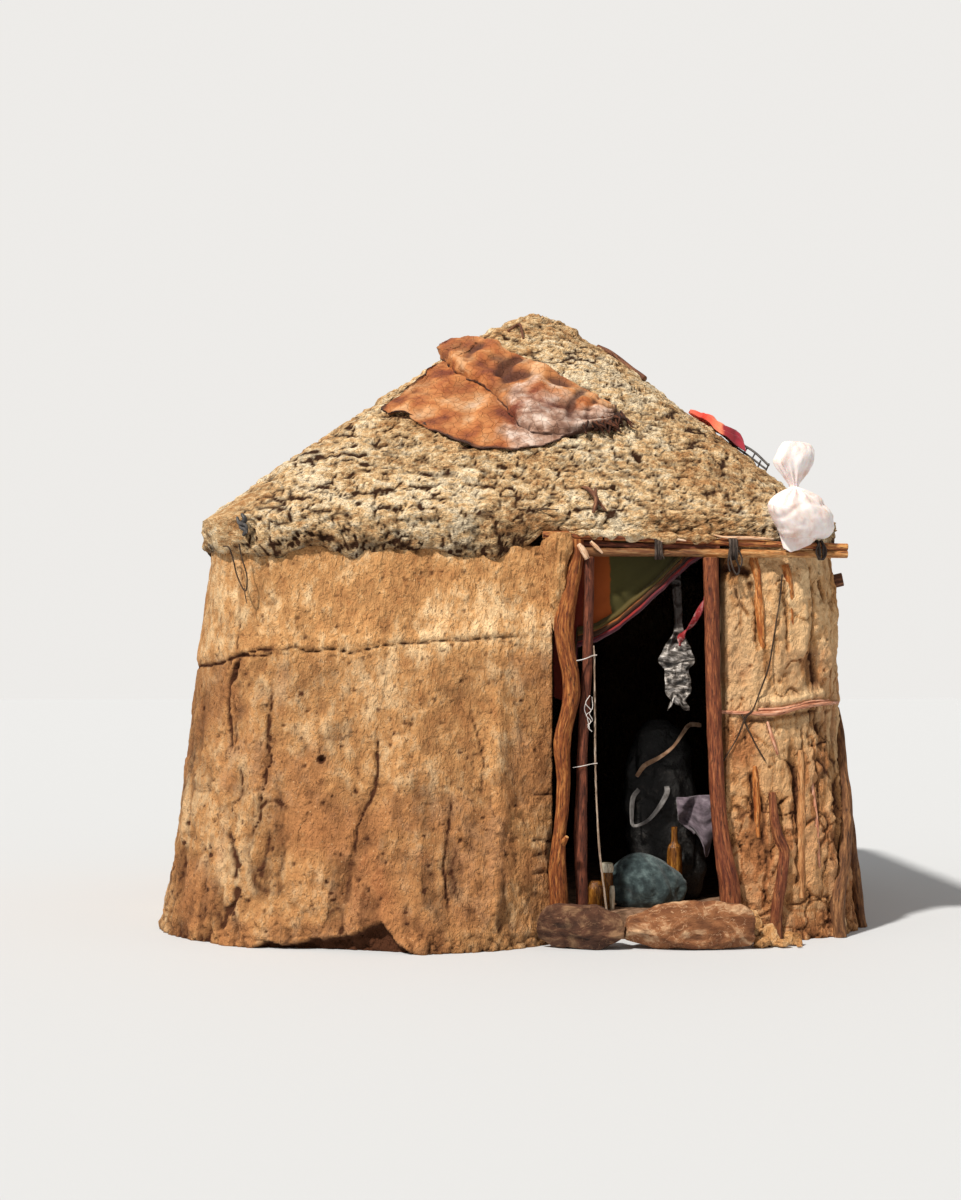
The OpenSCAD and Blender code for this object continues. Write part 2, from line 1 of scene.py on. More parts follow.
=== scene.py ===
# %% [markdown]
# # A mud-plastered pole hut
# The real thing is a frame of bent poles on a rounded-square plan, plastered inside and out with
# mud and dung. Its wall spreads at the foot where rain has washed the plaster down, and its roof
# is a thick crust of the same mud, laid on by the handful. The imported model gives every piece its
# place. This script gives each one its skin: clods, cracks, bark, hide and cloth, worked out as
# arrays of points with numpy.

# %% The frame
import math
from itertools import product

import bpy
import numpy as np
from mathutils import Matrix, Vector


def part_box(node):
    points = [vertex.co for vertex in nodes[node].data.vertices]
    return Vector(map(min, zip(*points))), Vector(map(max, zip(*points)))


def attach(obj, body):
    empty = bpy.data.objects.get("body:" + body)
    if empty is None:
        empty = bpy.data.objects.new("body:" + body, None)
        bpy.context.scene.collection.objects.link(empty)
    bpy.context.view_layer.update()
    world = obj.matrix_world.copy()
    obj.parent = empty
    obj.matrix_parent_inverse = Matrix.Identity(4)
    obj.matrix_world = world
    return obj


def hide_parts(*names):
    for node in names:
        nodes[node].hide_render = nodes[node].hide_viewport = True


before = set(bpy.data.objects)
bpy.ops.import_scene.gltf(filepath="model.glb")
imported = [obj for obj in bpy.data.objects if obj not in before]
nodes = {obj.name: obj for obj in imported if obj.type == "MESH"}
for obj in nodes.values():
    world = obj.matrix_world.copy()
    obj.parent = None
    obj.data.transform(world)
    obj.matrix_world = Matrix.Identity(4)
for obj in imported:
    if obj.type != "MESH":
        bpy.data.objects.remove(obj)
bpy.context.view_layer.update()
print("nodes in the frame:", len(nodes))

# %% [markdown]
# The camera comes first. It stands a little to the left of the doorway at a grown person's chest
# height and looks level, so upright edges stay upright, and the lens is shifted up to put the
# horizon low in the picture.

# %% Camera
EYE = (-0.473, -7.172, 0.94)
TURN = 0.05
scene = bpy.context.scene
camera = bpy.data.objects.new("camera", bpy.data.cameras.new("camera"))
camera.data.lens = 54
camera.data.sensor_width = 36
camera.data.shift_y = 0.0525
camera.location = EYE
camera.rotation_euler = (math.pi / 2, 0, -TURN)
scene.collection.objects.link(camera)
scene.camera = camera

# %% [markdown]
# Mud has structure at every size, from the sweep of a hand down to grit. Two kinds of noise make
# it. The first blends random values smoothly, for swells and smears. The second measures the
# distance to scattered points, for clods, chips and the cracks between them. Both work on whole
# arrays and give the same result on every run.


# %% Noise
def hashed(x, y, z, seed):
    """A random number from 0 to 1 for each whole-number cell, by mixing its numbers with primes."""
    n = (x * 374761393 + y * 668265263 + z * 1274126177 + seed * 974634777) & 0xFFFFFFFF
    n = ((n ^ (n >> 15)) * 2246822519) & 0xFFFFFFFF
    n = ((n ^ (n >> 13)) * 3266489917) & 0xFFFFFFFF
    return (n ^ (n >> 16)) / 4294967295.0


def smooth(low, high, value):
    """0 under low, 1 over high, and 3t^2 - 2t^3 in between."""
    t = np.clip((value - low) / (high - low), 0, 1)
    return t * t * (3 - 2 * t)


def noise(p, size, seed=0):
    """Noise from -1 to 1: random values at the corners of cubes of that size, blended by
    t^3 (6t^2 - 15t + 10)."""
    g = np.asarray(p) / size
    cell = np.floor(g).astype(np.int64)
    f = g - cell
    f = f * f * f * (f * (f * 6 - 15) + 10)
    total = 0.0
    for corner in product((0, 1), repeat=3):
        x, y, z = (cell[..., n] + corner[n] for n in range(3))
        a, b, c = (f[..., n] if corner[n] else 1 - f[..., n] for n in range(3))
        total = total + a * b * c * hashed(x, y, z, seed)
    return 2 * total - 1


def drift(p, size, seed, axes=3):
    """Noise on each axis, to make places wander."""
    return np.stack([noise(p, size, seed + n) for n in range(axes)], -1)


def cells(p, size, seed=0):
    """Distances, in cells, to the nearest and second nearest of points scattered one to a cube,
    and a random number for the nearest one."""
    g = np.asarray(p) / size
    cell = np.floor(g).astype(np.int64)
    first, second, owner = (np.full(g.shape[:-1], 9.0) for _ in range(3))
    for step in product((-1, 0, 1), repeat=3):
        at = [cell[..., n] + step[n] for n in range(3)]
        d = np.sqrt(sum((at[n] + hashed(*at, seed + n) - g[..., n]) ** 2 for n in range(3)))
        nearer = d < first
        second = np.where(nearer, first, np.minimum(second, d))
        owner = np.where(nearer, hashed(*at, seed + 3), owner)
        first = np.where(nearer, d, first)
    return first, second, owner


# %% [markdown]
# A surface here is a grid of points. One function turns such a grid into a closed shell, with a
# plainer grid behind it, because nobody looks closely at the back of plaster. Where the fine edge
# meets the plain one, each plain edge gets one face with all the fine points along it.


# %% Meshes
def new_piece(name, points, faces, attributes=None):
    """A smooth mesh object at the origin, with its attributes stored on its points."""
    mesh = bpy.data.meshes.new(name)
    mesh.from_pydata(np.asarray(points, float).reshape(-1, 3).tolist(), [], faces)
    mesh.update()
    for key, values in (attributes or {}).items():
        values = np.asarray(values, np.float32)
        vector = values.size == 3 * len(mesh.vertices)
        made = mesh.attributes.new(key, "FLOAT_VECTOR" if vector else "FLOAT", "POINT")
        made.data.foreach_set("vector" if vector else "value", values.ravel())
    mesh.shade_smooth()
    piece = bpy.data.objects.new(name, mesh)
    scene.collection.objects.link(piece)
    return piece


def settled(piece, replaced=()):
    """Rides a piece on the hut's one body and hides the nodes it stands for."""
    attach(piece, "root")
    if replaced:
        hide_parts(*replaced)
    print(piece.name, "has", len(piece.data.polygons), "faces")
    return piece


def grid_faces(rows, columns, start=0, around=False, flip=False):
    """Four-sided faces between neighbours on a grid, going round to the first column if asked."""
    j, k = np.meshgrid(np.arange(rows - 1), np.arange(columns - (not around)), indexing="ij")
    a, b = j * columns + k, j * columns + (k + 1) % columns
    quads = np.stack([a, b, b + columns, a + columns], -1).reshape(-1, 4) + start
    return (quads[:, ::-1] if flip else quads).tolist()


def tube_faces(rows, around, start=0):
    """Faces round a stack of rings, with one flat face over each end."""
    ids = list(range(start, start + rows * around))
    return [*grid_faces(rows, around, start, around=True), ids[:around][::-1], ids[-around:]]


def edge_walk(rows, columns):
    """Numbers of the points on a grid's border once round, without repeating the start."""
    ids = np.arange(rows * columns).reshape(rows, columns)
    return np.concatenate([ids[0, :-1], ids[:-1, -1], ids[-1, :0:-1], ids[:0:-1, 0]])


def crust(name, face, back, step, attributes):
    """A closed shell: the fine face, its back taken at every step-th point, and a rim."""
    rows, columns = face.shape[:2]
    back = back[::step, ::step]
    start = rows * columns
    faces = grid_faces(rows, columns) + grid_faces(*back.shape[:2], start, flip=True)
    fine = edge_walk(rows, columns).tolist()
    plain = (start + edge_walk(*back.shape[:2])).tolist()
    for n in range(len(plain)):
        some = [fine[(n * step + m) % len(fine)] for m in range(step + 1)]
        faces.append(some[::-1] + [plain[n], plain[(n + 1) % len(plain)]])
    points = np.concatenate([face.reshape(-1, 3), back.reshape(-1, 3)])
    filled = {"inner": np.arange(len(points)) >= start}
    for key, v in attributes.items():
        v = v.reshape(rows, columns, -1)
        filled[key] = np.concatenate([a.reshape(-1, v.shape[-1]) for a in (v, v[::step, ::step])])
    return new_piece(name, points, faces, filled)


def parameters(columns, rows):
    """Two grids from 0 to 1: one runs along the columns, the other down the rows."""
    return np.meshgrid(np.linspace(0, 1, columns), np.linspace(0, 1, rows))


# %% [markdown]
# The hut's plan is a square with well rounded corners. One number, w, runs round it from 0 to 8:
# 0 to 1 is the front from left to right, 1 to 2 the corner after it, and so on. The wall's outer
# face leans out to a wide foot on the left and at the back, and hardly at all beside the doorway,
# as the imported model's walls do, so that the new skin lies where they are.

# %% Plan and wall
HALF = 1.105
CORNER = 0.36
WALL_TOP = 1.335
WALL_THICK = 0.11
SIDE = HALF - CORNER
DOOR_LEFT, DOOR_RIGHT = 0.071, 0.661
FOOT = ((0, 0.151), (0.25, 0.275), (0.42, 0.22), (0.548, 0.06), (0.944, 0.03), (1.5, 0.0805),
        (2.5, 0.115), (3.5, 0.115), (4.5, 0.13), (5.5, 0.104), (6.5, 0.225), (7.5, 0.1125),
        (8, 0.151))
HOLLOW = ((0, 1.1), (0.548, 1.3), (0.944, 2), (3.5, 2), (4.5, 1.3), (8, 1.1))


def front_at(x):
    """The way round, w, of a place on the front wall."""
    return (x / SIDE + 1) / 2


def table(pairs, w):
    """Straight lines between the table's pairs."""
    return np.interp(np.mod(w, 8), *np.array(pairs, float).T)


def turned(x, y, turn):
    """Plan points turned about the origin."""
    c, s = np.cos(turn), np.sin(turn)
    return np.stack([x * c - y * s, x * s + y * c], -1)


def raised(plan, z):
    """Plan points with their heights."""
    return np.concatenate([plan, np.broadcast_to(z, plan.shape[:-1])[..., None]], -1)


def outline(grow, w):
    """Plan point: sides at HALF + grow, joined by quarter circles of radius CORNER + grow."""
    w = np.mod(w, 8)
    part = np.floor(w)
    v = w - part
    straight = part % 2 == 0
    x = np.where(straight, HALF + grow, SIDE + (CORNER + grow) * np.cos(v * np.pi / 2))
    y = np.where(straight, (2 * v - 1) * SIDE, SIDE + (CORNER + grow) * np.sin(v * np.pi / 2))
    return turned(x, y, (np.floor(part / 2) - 1) * np.pi / 2)


def wall_face(w, z, inside=False):
    """The wall's outer face leans out by foot (1 - z/top)^hollow; the inner one by three quarters
    of that, less the wall's thickness."""
    out = table(FOOT, w) * np.maximum(0, 1 - z / WALL_TOP) ** table(HOLLOW, w)
    if inside:
        out = 0.75 * out - WALL_THICK
    return raised(outline(out, w), z)


def unit(v):
    """The vectors at length 1."""
    return v / np.linalg.norm(v, axis=-1, keepdims=True)


def outward(surface, w, t, step=0.004):
    """The surface's normal, from its slopes along both of its parameters."""
    across = surface(w + step, t) - surface(w - step, t)
    return unit(np.cross(across, surface(w, t + step) - surface(w, t - step)))


def metres_round(w):
    """Metres round the wall top from the middle of the front, with w from -3 to 7."""
    spans = np.array([CORNER * np.pi / 2, 2 * SIDE] * 5)
    marks = np.concatenate([[0], np.cumsum(spans)])
    return np.interp(w, np.arange(-3, 8), marks) - np.interp(0.5, np.arange(-3, 8), marks)


def even_ways(start, end, step):
    """Values of w from start to end, spaced evenly in metres round the wall top."""
    fine = np.linspace(start, end, 400)
    p = outline(0.0 * fine, fine)
    run = np.concatenate([[0], np.cumsum(np.linalg.norm(np.diff(p, axis=0), axis=1))])
    count = 4 * max(1, round(run[-1] / step / 4))
    return np.interp(np.linspace(0, run[-1], count + 1), run, fine)


# %% [markdown]
# The plaster's marks are lines of places (w, height), read off the photograph: cracks, gaps
# beside poles, ribs where a pole shows as a swelling, and a pale ledge. A point's distance to such
# a line, made to wander with noise, gives how far the skin sinks or stands out there, and how dark
# it is.


# %% Lines on the wall
def to_line(at, stops):
    """Distance from each place to a bent line, and how far along the line the nearest place is."""
    best = np.full(at.shape[:-1], 9.0)
    along = np.zeros(at.shape[:-1])
    for n in range(len(stops) - 1):
        run = stops[n + 1] - stops[n]
        t = np.clip(((at - stops[n]) @ run) / (run @ run), 0, 1)
        d = np.linalg.norm(at - stops[n] - t[..., None] * run, axis=-1)
        along = np.where(d < best, (n + t) / (len(stops) - 1), along)
        best = np.minimum(best, d)
    return best, along


# Each has its half width and rise in metres and its darkness (pale under 0), then w, z, w, z ...
# The darkness given to cracks, gaps, hollows and holes is painted shade.
WALL_LINES = (
    (0.0045, -0.014, 1.3, -1.2, 0.87, -0.85, 0.93, -0.63, 0.94, -0.51, 0.95, -0.41, 0.97, -0.29, 0.985,
     -0.16, 0.98),
    (0.003, -0.01, 1.0, -0.16, 0.98, -0.09, 1.0, -0.01, 0.98, 0.05, 0.985, 0.09, 0.97, 0.17, 1.0, 0.33,
     1.015, 0.5, 1.03),
    (0.004, -0.01, 1.2, -0.42, 0.965, -0.32, 0.965, -0.2, 0.97),
    (0.0025, -0.005, 0.9, -0.45, 1.28, -0.45, 1.13, -0.45, 1.04, -0.43, 0.97),
    (0.005, -0.014, 1.4, -0.41, 0.96, -0.47, 0.92, -0.49, 0.86, -0.49, 0.8, -0.46, 0.71, -0.44, 0.64),
    (0.008, -0.016, 1.5, -0.45, 0.94, -0.455, 0.91, -0.48, 0.87),
    (0.003, -0.006, 0.8, -0.46, 0.85, -0.43, 0.74, -0.42, 0.66),
    (0.0035, -0.009, 1.1, -0.2, 0.9, -0.2, 0.78, -0.21, 0.72, -0.21, 0.66, -0.19, 0.62, -0.21, 0.57, -0.24,
     0.47, -0.24, 0.42, -0.29, 0.36),
    (0.003, -0.007, 1.0, -0.37, 0.6, -0.36, 0.49, -0.4, 0.47, -0.42, 0.43),
    (0.009, -0.009, 0.9, -0.42, 0.38, -0.39, 0.33, -0.35, 0.28, -0.36, 0.22),
    (0.009, -0.012, 1.1, -0.33, 0.2, -0.33, 0.15, -0.4, 0.11, -0.42, 0.04),
    (0.006, -0.008, 0.8, -0.24, 0.45, -0.2, 0.485, -0.15, 0.49, -0.08, 0.45),
    (0.007, -0.003, 0.45, -0.19, 0.39, -0.2, 0.32, -0.23, 0.22),
    (0.0045, -0.01, 1.1, 0.15, 0.72, 0.155, 0.6, 0.15, 0.54, 0.135, 0.48, 0.11, 0.41, 0.1, 0.3),
    (0.005, -0.009, 0.9, 0.32, 0.5, 0.3, 0.3, 0.31, 0.12),
    (0.003, -0.006, 0.8, 0.36, 0.8, 0.39, 0.62, 0.38, 0.5),
    (0.004, -0.008, 1.0, 0.5, 0.5, 0.57, 0.5),
    (0.004, -0.008, 1.0, 0.5, 0.345, 0.57, 0.34),
    (0.004, -0.008, 1.0, 0.5, 0.245, 0.57, 0.24),
    # Poles as swellings under the plaster.
    (0.012, 0.014, 0, -0.79, 0.5, -0.76, 0.02),
    (0.03, 0.01, 0, -0.52, 0.7, -0.5, 0.02),
    (0.035, 0.01, 0, -0.27, 0.86, -0.28, 0.5, -0.31, 0.02),
    (0.05, 0.008, 0, 0.03, 0.8, -0.02, 0.1),
    (0.03, 0.012, 0, 0.2, 0.75, 0.2, 0.5, 0.16, 0.3, 0.17, 0.05),
    (0.03, 0.014, 0, 0.42, 0.95, 0.42, 0.1),
    # A hole under the lintel, black with painted shade, and hollows beside the poles, dark with painted
    # shade.
    (0.017, -0.028, 1.6, 0.94, 1.27, 0.98, 1.255, 1.01, 1.25),
    (0.005, -0.006, 1.0, 0.97, 1.2, 0.98, 1.15, 1.0, 1.1),
    (0.007, -0.01, 0.8, 1.02, 1.22, 1.045, 1.1, 1.05, 0.97),
    (0.006, -0.009, 0.8, 1.2, 1.22, 1.23, 1.1, 1.25, 0.97),
    (0.0055, -0.012, 1.2, 1.42, 1.28, 1.44, 1.16, 1.43, 1.05, 1.43, 0.96, 1.47, 0.85),
    (0.012, -0.014, 1.0, 1.52, 1.23, 1.57, 1.15),
    (0.006, -0.012, 1.1, 1.68, 1.29, 1.67, 1.15, 1.64, 1.03, 1.65, 0.95, 1.61, 0.86),
    (0.003, -0.006, 0.9, 1.21, 0.92, 1.26, 0.94, 1.35, 0.95),
    (0.008, -0.008, 0.8, 0.97, 0.745, 1.15, 0.75, 1.33, 0.765, 1.5, 0.775),
    (0.003, -0.006, 1.0, 1.28, 0.62, 1.35, 0.64, 1.34, 0.73),
    (0.003, -0.007, 1.0, 1.38, 0.74, 1.39, 0.66, 1.49, 0.66, 1.62, 0.67),
    (0.007, -0.01, 1.1, 1.5, 0.735, 1.48, 0.695),
    (0.003, -0.006, 1.1, 1.21, 0.61, 1.28, 0.58),
    (0.013, -0.014, 1.1, 1.28, 0.585, 1.3, 0.515),
    (0.003, -0.007, 1.1, 1.15, 0.455, 1.23, 0.485),
    (0.003, -0.006, 0.9, 1.17, 0.46, 1.19, 0.4),
    (0.006, -0.01, 1.0, 1.28, 0.57, 1.285, 0.47, 1.265, 0.27, 1.265, 0.18),
    (0.004, -0.008, 0.9, 1.42, 0.7, 1.43, 0.61, 1.45, 0.5, 1.41, 0.37),
    (0.005, -0.007, 0.9, 1.48, 0.43, 1.5, 0.37, 1.42, 0.31, 1.39, 0.26),
    (0.006, -0.01, 1.0, 1.0, 0.57, 1.015, 0.49, 1.015, 0.39),
    (0.007, -0.01, 0.8, 1.07, 0.5, 1.075, 0.4, 1.09, 0.24, 1.07, 0.1),
    (0.0035, -0.008, 1.0, 1.2, 0.12, 1.28, 0.12, 1.35, 0.15, 1.46, 0.11),
    (0.006, -0.012, 1.1, 1.43, 0.055, 1.55, 0.04, 1.61, 0.0),
    (0.007, -0.01, 0.8, 1.6, 0.5, 1.58, 0.3, 1.62, 0.1),
    # A pole as a smooth swelling, ridges of plaster, and the pale ledge over the long lath.
    (0.03, 0.014, -0.15, 1.36, 1.29, 1.36, 1.1, 1.36, 0.95),
    (0.018, 0.01, 0, 1.15, 1.27, 1.16, 1.1, 1.17, 0.9),
    (0.03, 0.012, 0, 1.57, 1.3, 1.56, 1.0, 1.56, 0.86),
    (0.015, 0.01, -0.5, 1.02, 0.81, 1.16, 0.805, 1.33, 0.815, 1.46, 0.835, 1.56, 0.84),
    (0.02, 0.008, 0, 1.37, 0.66, 1.37, 0.4, 1.36, 0.15),
    (0.03, 0.012, 0, 1.5, 0.62, 1.53, 0.4, 1.5, 0.2),
    (0.02, 0.008, 0, 1.22, 0.4, 1.23, 0.15),
    (0.03, 0.014, 0, 1.78, 1.28, 1.8, 1.0, 1.85, 0.7),
    # The sides that the photograph doesn't show have the same kinds of lines.
    (0.0065, -0.009, 0.9, -1.9, 0.8, -1.6, 0.84, -1.3, 0.82, -1.1, 0.87),
    (0.0065, -0.007, 0.8, -1.5, 1.2, -1.56, 0.95, -1.5, 0.7, -1.54, 0.5),
    (0.0065, -0.009, 0.9, 2.1, 0.9, 2.35, 0.86, 2.6, 0.93, 2.9, 0.9),
    (0.0065, -0.007, 0.8, 2.5, 1.3, 2.46, 1.1, 2.53, 0.85, 2.49, 0.6),
    (0.009, -0.009, 0.9, 3.9, 0.7, 4.2, 0.76, 4.5, 0.72, 4.8, 0.74),
    (0.009, -0.009, 0.9, 4.7, 0.9, 4.9, 0.86, 5.2, 0.92, 5.5, 0.9),
    (0.03, 0.012, 0, -1.25, 0.8, -1.25, 0.02),
    (0.035, 0.012, 0, -1.6, 0.9, -1.6, 0.02),
    (0.03, 0.012, 0, 2.2, 0.9, 2.2, 0.02),
    (0.03, 0.012, 0, 2.7, 0.8, 2.7, 0.02),
    (0.035, 0.012, 0, 3.5, 0.8, 3.5, 0.02),
)


# %% [markdown]
# On the left the plaster is whole: soft swells, strokes of the fingers that run up the wall, small
# pits, and a foot that has crumbled where it meets the ground. Right of the doorway it has
# weathered into upright ridges over the poles. Each point also gets its darkness, most of it painted
# shade in cracks, creases, pits and hollows, and how red the mud is there.


# %% Wall relief
MISSING_FOOT = ((-0.24, -0.17, -0.08, -0.02, 0.03, 0.07, 0.13, 0.165, 0.19, 0.23),
                (0, 0.035, 0.012, 0.03, 0.04, 0.05, 0.08, 0.105, 0.05, 0))


def wall_swell(p):
    """The sweep of the hand: swells 0.34 m and 0.13 m across."""
    return 0.010 * noise(p, 0.34, 1) + 0.006 * noise(p * (1, 1, 0.6), 0.13, 2)


def panel_share(w):
    """1 right of the doorway, 0 well away from it."""
    return smooth(0.9, 0.96, w) * (1 - smooth(2.0, 2.3, w))


def blot(w, z, centre, wide, high):
    """A soft round patch: exp(-d^2) of the distance from its centre."""
    return np.exp(-(((w - centre[0]) / wide) ** 2) - ((z - centre[1]) / high) ** 2)


def wall_relief(w, z, p):
    """Height of the skin over the plain wall face, with how dark it is and how red. Most of the
    darkness is painted shade, in cracks, creases, pits, splits and hollows.
    """
    low = 1 - smooth(0.1, 0.95, z)
    panel = panel_share(w)
    worn = np.maximum(low, panel)
    strokes = noise(p * (1, 1, 0.3) + 0.01 * noise(p, 0.1, 3)[..., None], 0.035, 4)
    skin = wall_swell(p) + (0.0014 + 0.003 * worn) * strokes
    skin += (0.0012 + 0.002 * worn) * noise(p, 0.028, 5)
    skin += (0.001 + 0.0014 * worn) * noise(p, 0.013, 6)
    # Painted shade in the grooves between the strokes.
    dark = (0.12 + 0.25 * worn) * smooth(-0.1, -0.6, strokes)
    # Dabs of plaster with shallow creases between them, dark with painted shade.
    dab = np.abs(noise(p * (1, 1, 0.55) + 0.02 * noise(p, 0.06, 12)[..., None], 0.11, 13))
    dab = np.minimum(1, 2.2 * dab)
    skin += (0.003 + 0.004 * low) * dab
    dark += (0.2 + 0.2 * low) * smooth(0.16, 0.0, dab)
    # Flat chips have come off here and there, most of them low down.
    chip = smooth(0.5, 0.56, noise(p, 0.09, 7) + 0.6 * noise(p, 0.03, 8) + 0.25 * low)
    skin -= 0.004 * chip
    dark += 0.15 * chip
    # Pits where straw has dropped out, dark inside with painted shade.
    first, _, owner = cells(p, 0.034, 10)
    pit = smooth(0.24, 0.1, first + 0.12 * noise(p, 0.012, 11)) * (owner > 0.6)
    skin -= 0.004 * pit
    dark += 0.75 * pit
    # Weathered ridges right of the doorway, with rough lumps between them, and painted shade in the
    # hollows.
    ridge = noise(p * (1, 1, 0.16), 0.045, 21) + 0.5 * noise(p * (1, 1, 0.3), 0.02, 22)
    lumps = noise(p, 0.022, 23)
    skin += panel * (0.006 * ridge + 0.0025 * lumps)
    hollow = 0.4 * smooth(-0.25, -0.75, ridge) + 0.12 * smooth(-0.2, -0.6, lumps)
    dark += panel * (hollow - 0.2 * smooth(0.3, 1.0, z))
    # Plates of plaster with splits between them, dark with painted shade.
    first, second, plate = cells(p * (1, 1, 0.55) + 0.02 * drift(p, 0.05, 30), 0.12, 33)
    split = smooth(0.045, 0.01, second - first) * smooth(-0.05, 0.2, noise(p, 0.11, 34)) * panel
    skin += panel * 0.004 * (plate - 0.5) - 0.006 * split
    dark += 0.8 * split - 0.2 * panel
    at = np.stack([metres_round(w), z], -1)
    at = at + 0.005 * drift(p, 0.045, 38, 2)
    at = at + 0.0025 * drift(p, 0.015, 40, 2)
    ragged = 0.55 + 1.1 * np.abs(noise(p, 0.03, 42))
    for wide, rise, stain, *line in WALL_LINES:
        d, along = to_line(at, np.stack([metres_round(line[::2]), line[1::2]], -1))
        mark = np.exp(-((d / (wide * (ragged if rise < 0 else 1))) ** 2))
        mark = mark * smooth(-0.02, 0.1, along) * smooth(-0.02, 0.1, 1 - along)
        skin += rise * mark
        dark += stain * mark
    # The plaster above the long crack laps over the plaster under it.
    line_z = 0.975 + 0.06 * smooth(-0.2, 0.5, w) - 0.03 * smooth(-0.5, -0.95, w)
    over = smooth(-0.01, 0.01, z - line_z) * (1 - smooth(0.0, 0.12, z - line_z))
    skin += 0.006 * over * (w < 0.56) * (w > -1.2)
    # A round hole, black inside with painted shade.
    hole = np.hypot(metres_round(w) - metres_round(0.03), z - 0.62)
    skin -= 0.02 * smooth(0.013, 0.007, hole)
    dark += 1.5 * smooth(0.015, 0.009, hole)
    # The foot has crumbled where it meets the ground, with painted shade in the cracks between crumbs.
    first, second, _ = cells(p, 0.04, 24)
    foot = smooth(0.1, 0.0, z + 0.05 * noise(p, 0.12, 25))
    crack = smooth(0.1, 0.0, second - first)
    skin += foot * (0.012 * (0.5 - first) - 0.008 * crack)
    dark += 0.5 * foot * smooth(0.12, 0.0, second - first)
    # A piece of the foot has dropped out and left a low hollow, dark with painted shade.
    edge = np.interp(w, *MISSING_FOOT)
    gone = smooth(0.0, 0.012, edge + 0.008 * noise(p, 0.03, 26) - z) * (edge > 0)
    skin -= 0.045 * gone
    dark += 1.2 * gone
    # Redder mud: by the knot on the panel, low on the panel, and in drifts elsewhere.
    knot = (0.99, 0.66)
    ruddy = 0.12 * panel + 0.9 * blot(w, z, knot, 0.08, 0.1)
    ruddy = ruddy + 0.5 * blot(w, z, (0.96, 1.0), 0.05, 0.2)
    ruddy = ruddy + 0.3 * panel * smooth(0.6, 0.2, z) + 0.35 * blot(w, z, (0.18, 0.22), 0.2, 0.18)
    under = 1 - smooth(0.93, 1.0, z - 0.02 * w)
    patch = smooth(-0.15, 0.5, noise(p, 0.19, 27) + 0.4 * noise(p, 0.06, 28))
    ruddy = ruddy + under * (0.14 + 0.5 * patch)
    # Painted shade: the mud is darker below the long crack and at the far left.
    far_left = smooth(-0.5, -0.8, w) * smooth(-1.3, -1.0, w)
    dark += (0.14 * under + 0.2 * far_left) * (1 - panel)
    dark += 0.35 * blot(w, z, knot, 0.06, 0.09) * panel
    return skin, np.clip(dark, -0.6, 1.6), np.clip(ruddy, 0, 1)


# %% Walls
BACK_STEP = 5


def wall_piece(name, replaced, start, end, step):
    """The outer skin between two places on the way round, closed with the wall's inner face."""
    ways = even_ways(start, end, step)
    rows, columns = BACK_STEP * round(WALL_TOP / step / BACK_STEP), BACK_STEP * (len(ways) // BACK_STEP)
    ways = np.interp(np.linspace(0, 1, columns + 1), np.linspace(0, 1, len(ways)), ways)
    w, z = np.meshgrid(ways, np.linspace(0, WALL_TOP, rows + 1))
    plain = wall_face(w, z)
    skin, dark, ruddy = wall_relief(w, z, plain)
    out = outward(wall_face, w, np.clip(z, 0.01, WALL_TOP - 0.01))
    out[..., 2] *= smooth(0, 0.02, z) * smooth(0, 0.02, WALL_TOP - z)
    face = plain + skin[..., None] * out
    face[..., 2] = np.maximum(face[..., 2], 0)
    inner = wall_face(w, z, inside=True)
    inner[..., :2] += 0.006 * noise(inner, 0.2, 90)[..., None] * out[..., :2]
    stored = {"dark": dark, "ruddy": ruddy, "rise": skin}
    return settled(crust(name, face, inner, BACK_STEP, stored), replaced)


walls = [
    wall_piece(
        "wall_front_left", ["front_left_corner_wall", "front_wall_left"], -1, front_at(DOOR_LEFT), 0.0068
    ),
    wall_piece("wall_front_right", ["front_wall_right"], front_at(DOOR_RIGHT), 2, 0.005),
    wall_piece("wall_right", ["right_wall"], 2, 3, 0.0112),
    wall_piece(
        "wall_back", ["back_right_corner_wall", "back_wall", "back_left_corner_wall"], 3, 6, 0.0128
    ),
    wall_piece("wall_left", ["left_wall"], -2, -1, 0.01),
]


# %% [markdown]
# The roof is one crust of mud from the eave to a blunt top. A second number, q, runs from 1 at the
# eave to 0 over the roof's axis, which stands a little right of the middle. The grid is laid out in
# rings of squares round the axis, so its meshes stay about the same size all the way up, and its
# outermost rings fold down over the eave's blunt edge.

# %% Roof surface
EAVE_LOW = WALL_TOP + 0.0003
EAVE_TOP = EAVE_LOW + 0.098
UNDER_LOW = EAVE_LOW + 0.08
PEAK = 2.366
TOP = 2.32
AXIS = np.array([0.112, 0.0])
MUD_DEPTH = 0.115
MUD_SEAT = 0.022
CROWN = 0.12
EAVE_OUT = ((0, 0.032), (0.5, 0.032), (1.2, 0.01), (3, 0.01), (5, 0.032), (8, 0.032))


def knob(w):
    """1 at the corner where a pole's end makes a lump in the eave, and 0 away from it."""
    return np.exp(-(((np.mod(w, 8) - 7.45) / 0.16) ** 2))


def reach(w):
    """How far the eave stands out: more on the left, and most over the pole's end."""
    return table(EAVE_OUT, w) + 0.034 * knob(w)


def climb(q):
    """Share of the rise from the eave to the top, with the roof swelling in between."""
    return (1 - q) * (1 + 0.2 * q)


def roof_plan(grow, w, q):
    """The plan shrinks towards the axis by q, and turns from a rounded square to a circle."""
    edge = outline(grow, w)
    circle = np.hypot(HALF + grow, SIDE / 2)[..., None] * unit(edge)
    q = q[..., None]
    return AXIS * (1 - q) + q * (circle * (1 - q) + edge * q)


RIM_Z = EAVE_TOP + (PEAK - EAVE_TOP) * climb(CROWN)
RIM_DEPTH = RIM_Z - (UNDER_LOW + (PEAK - MUD_DEPTH - UNDER_LOW) * climb(CROWN))

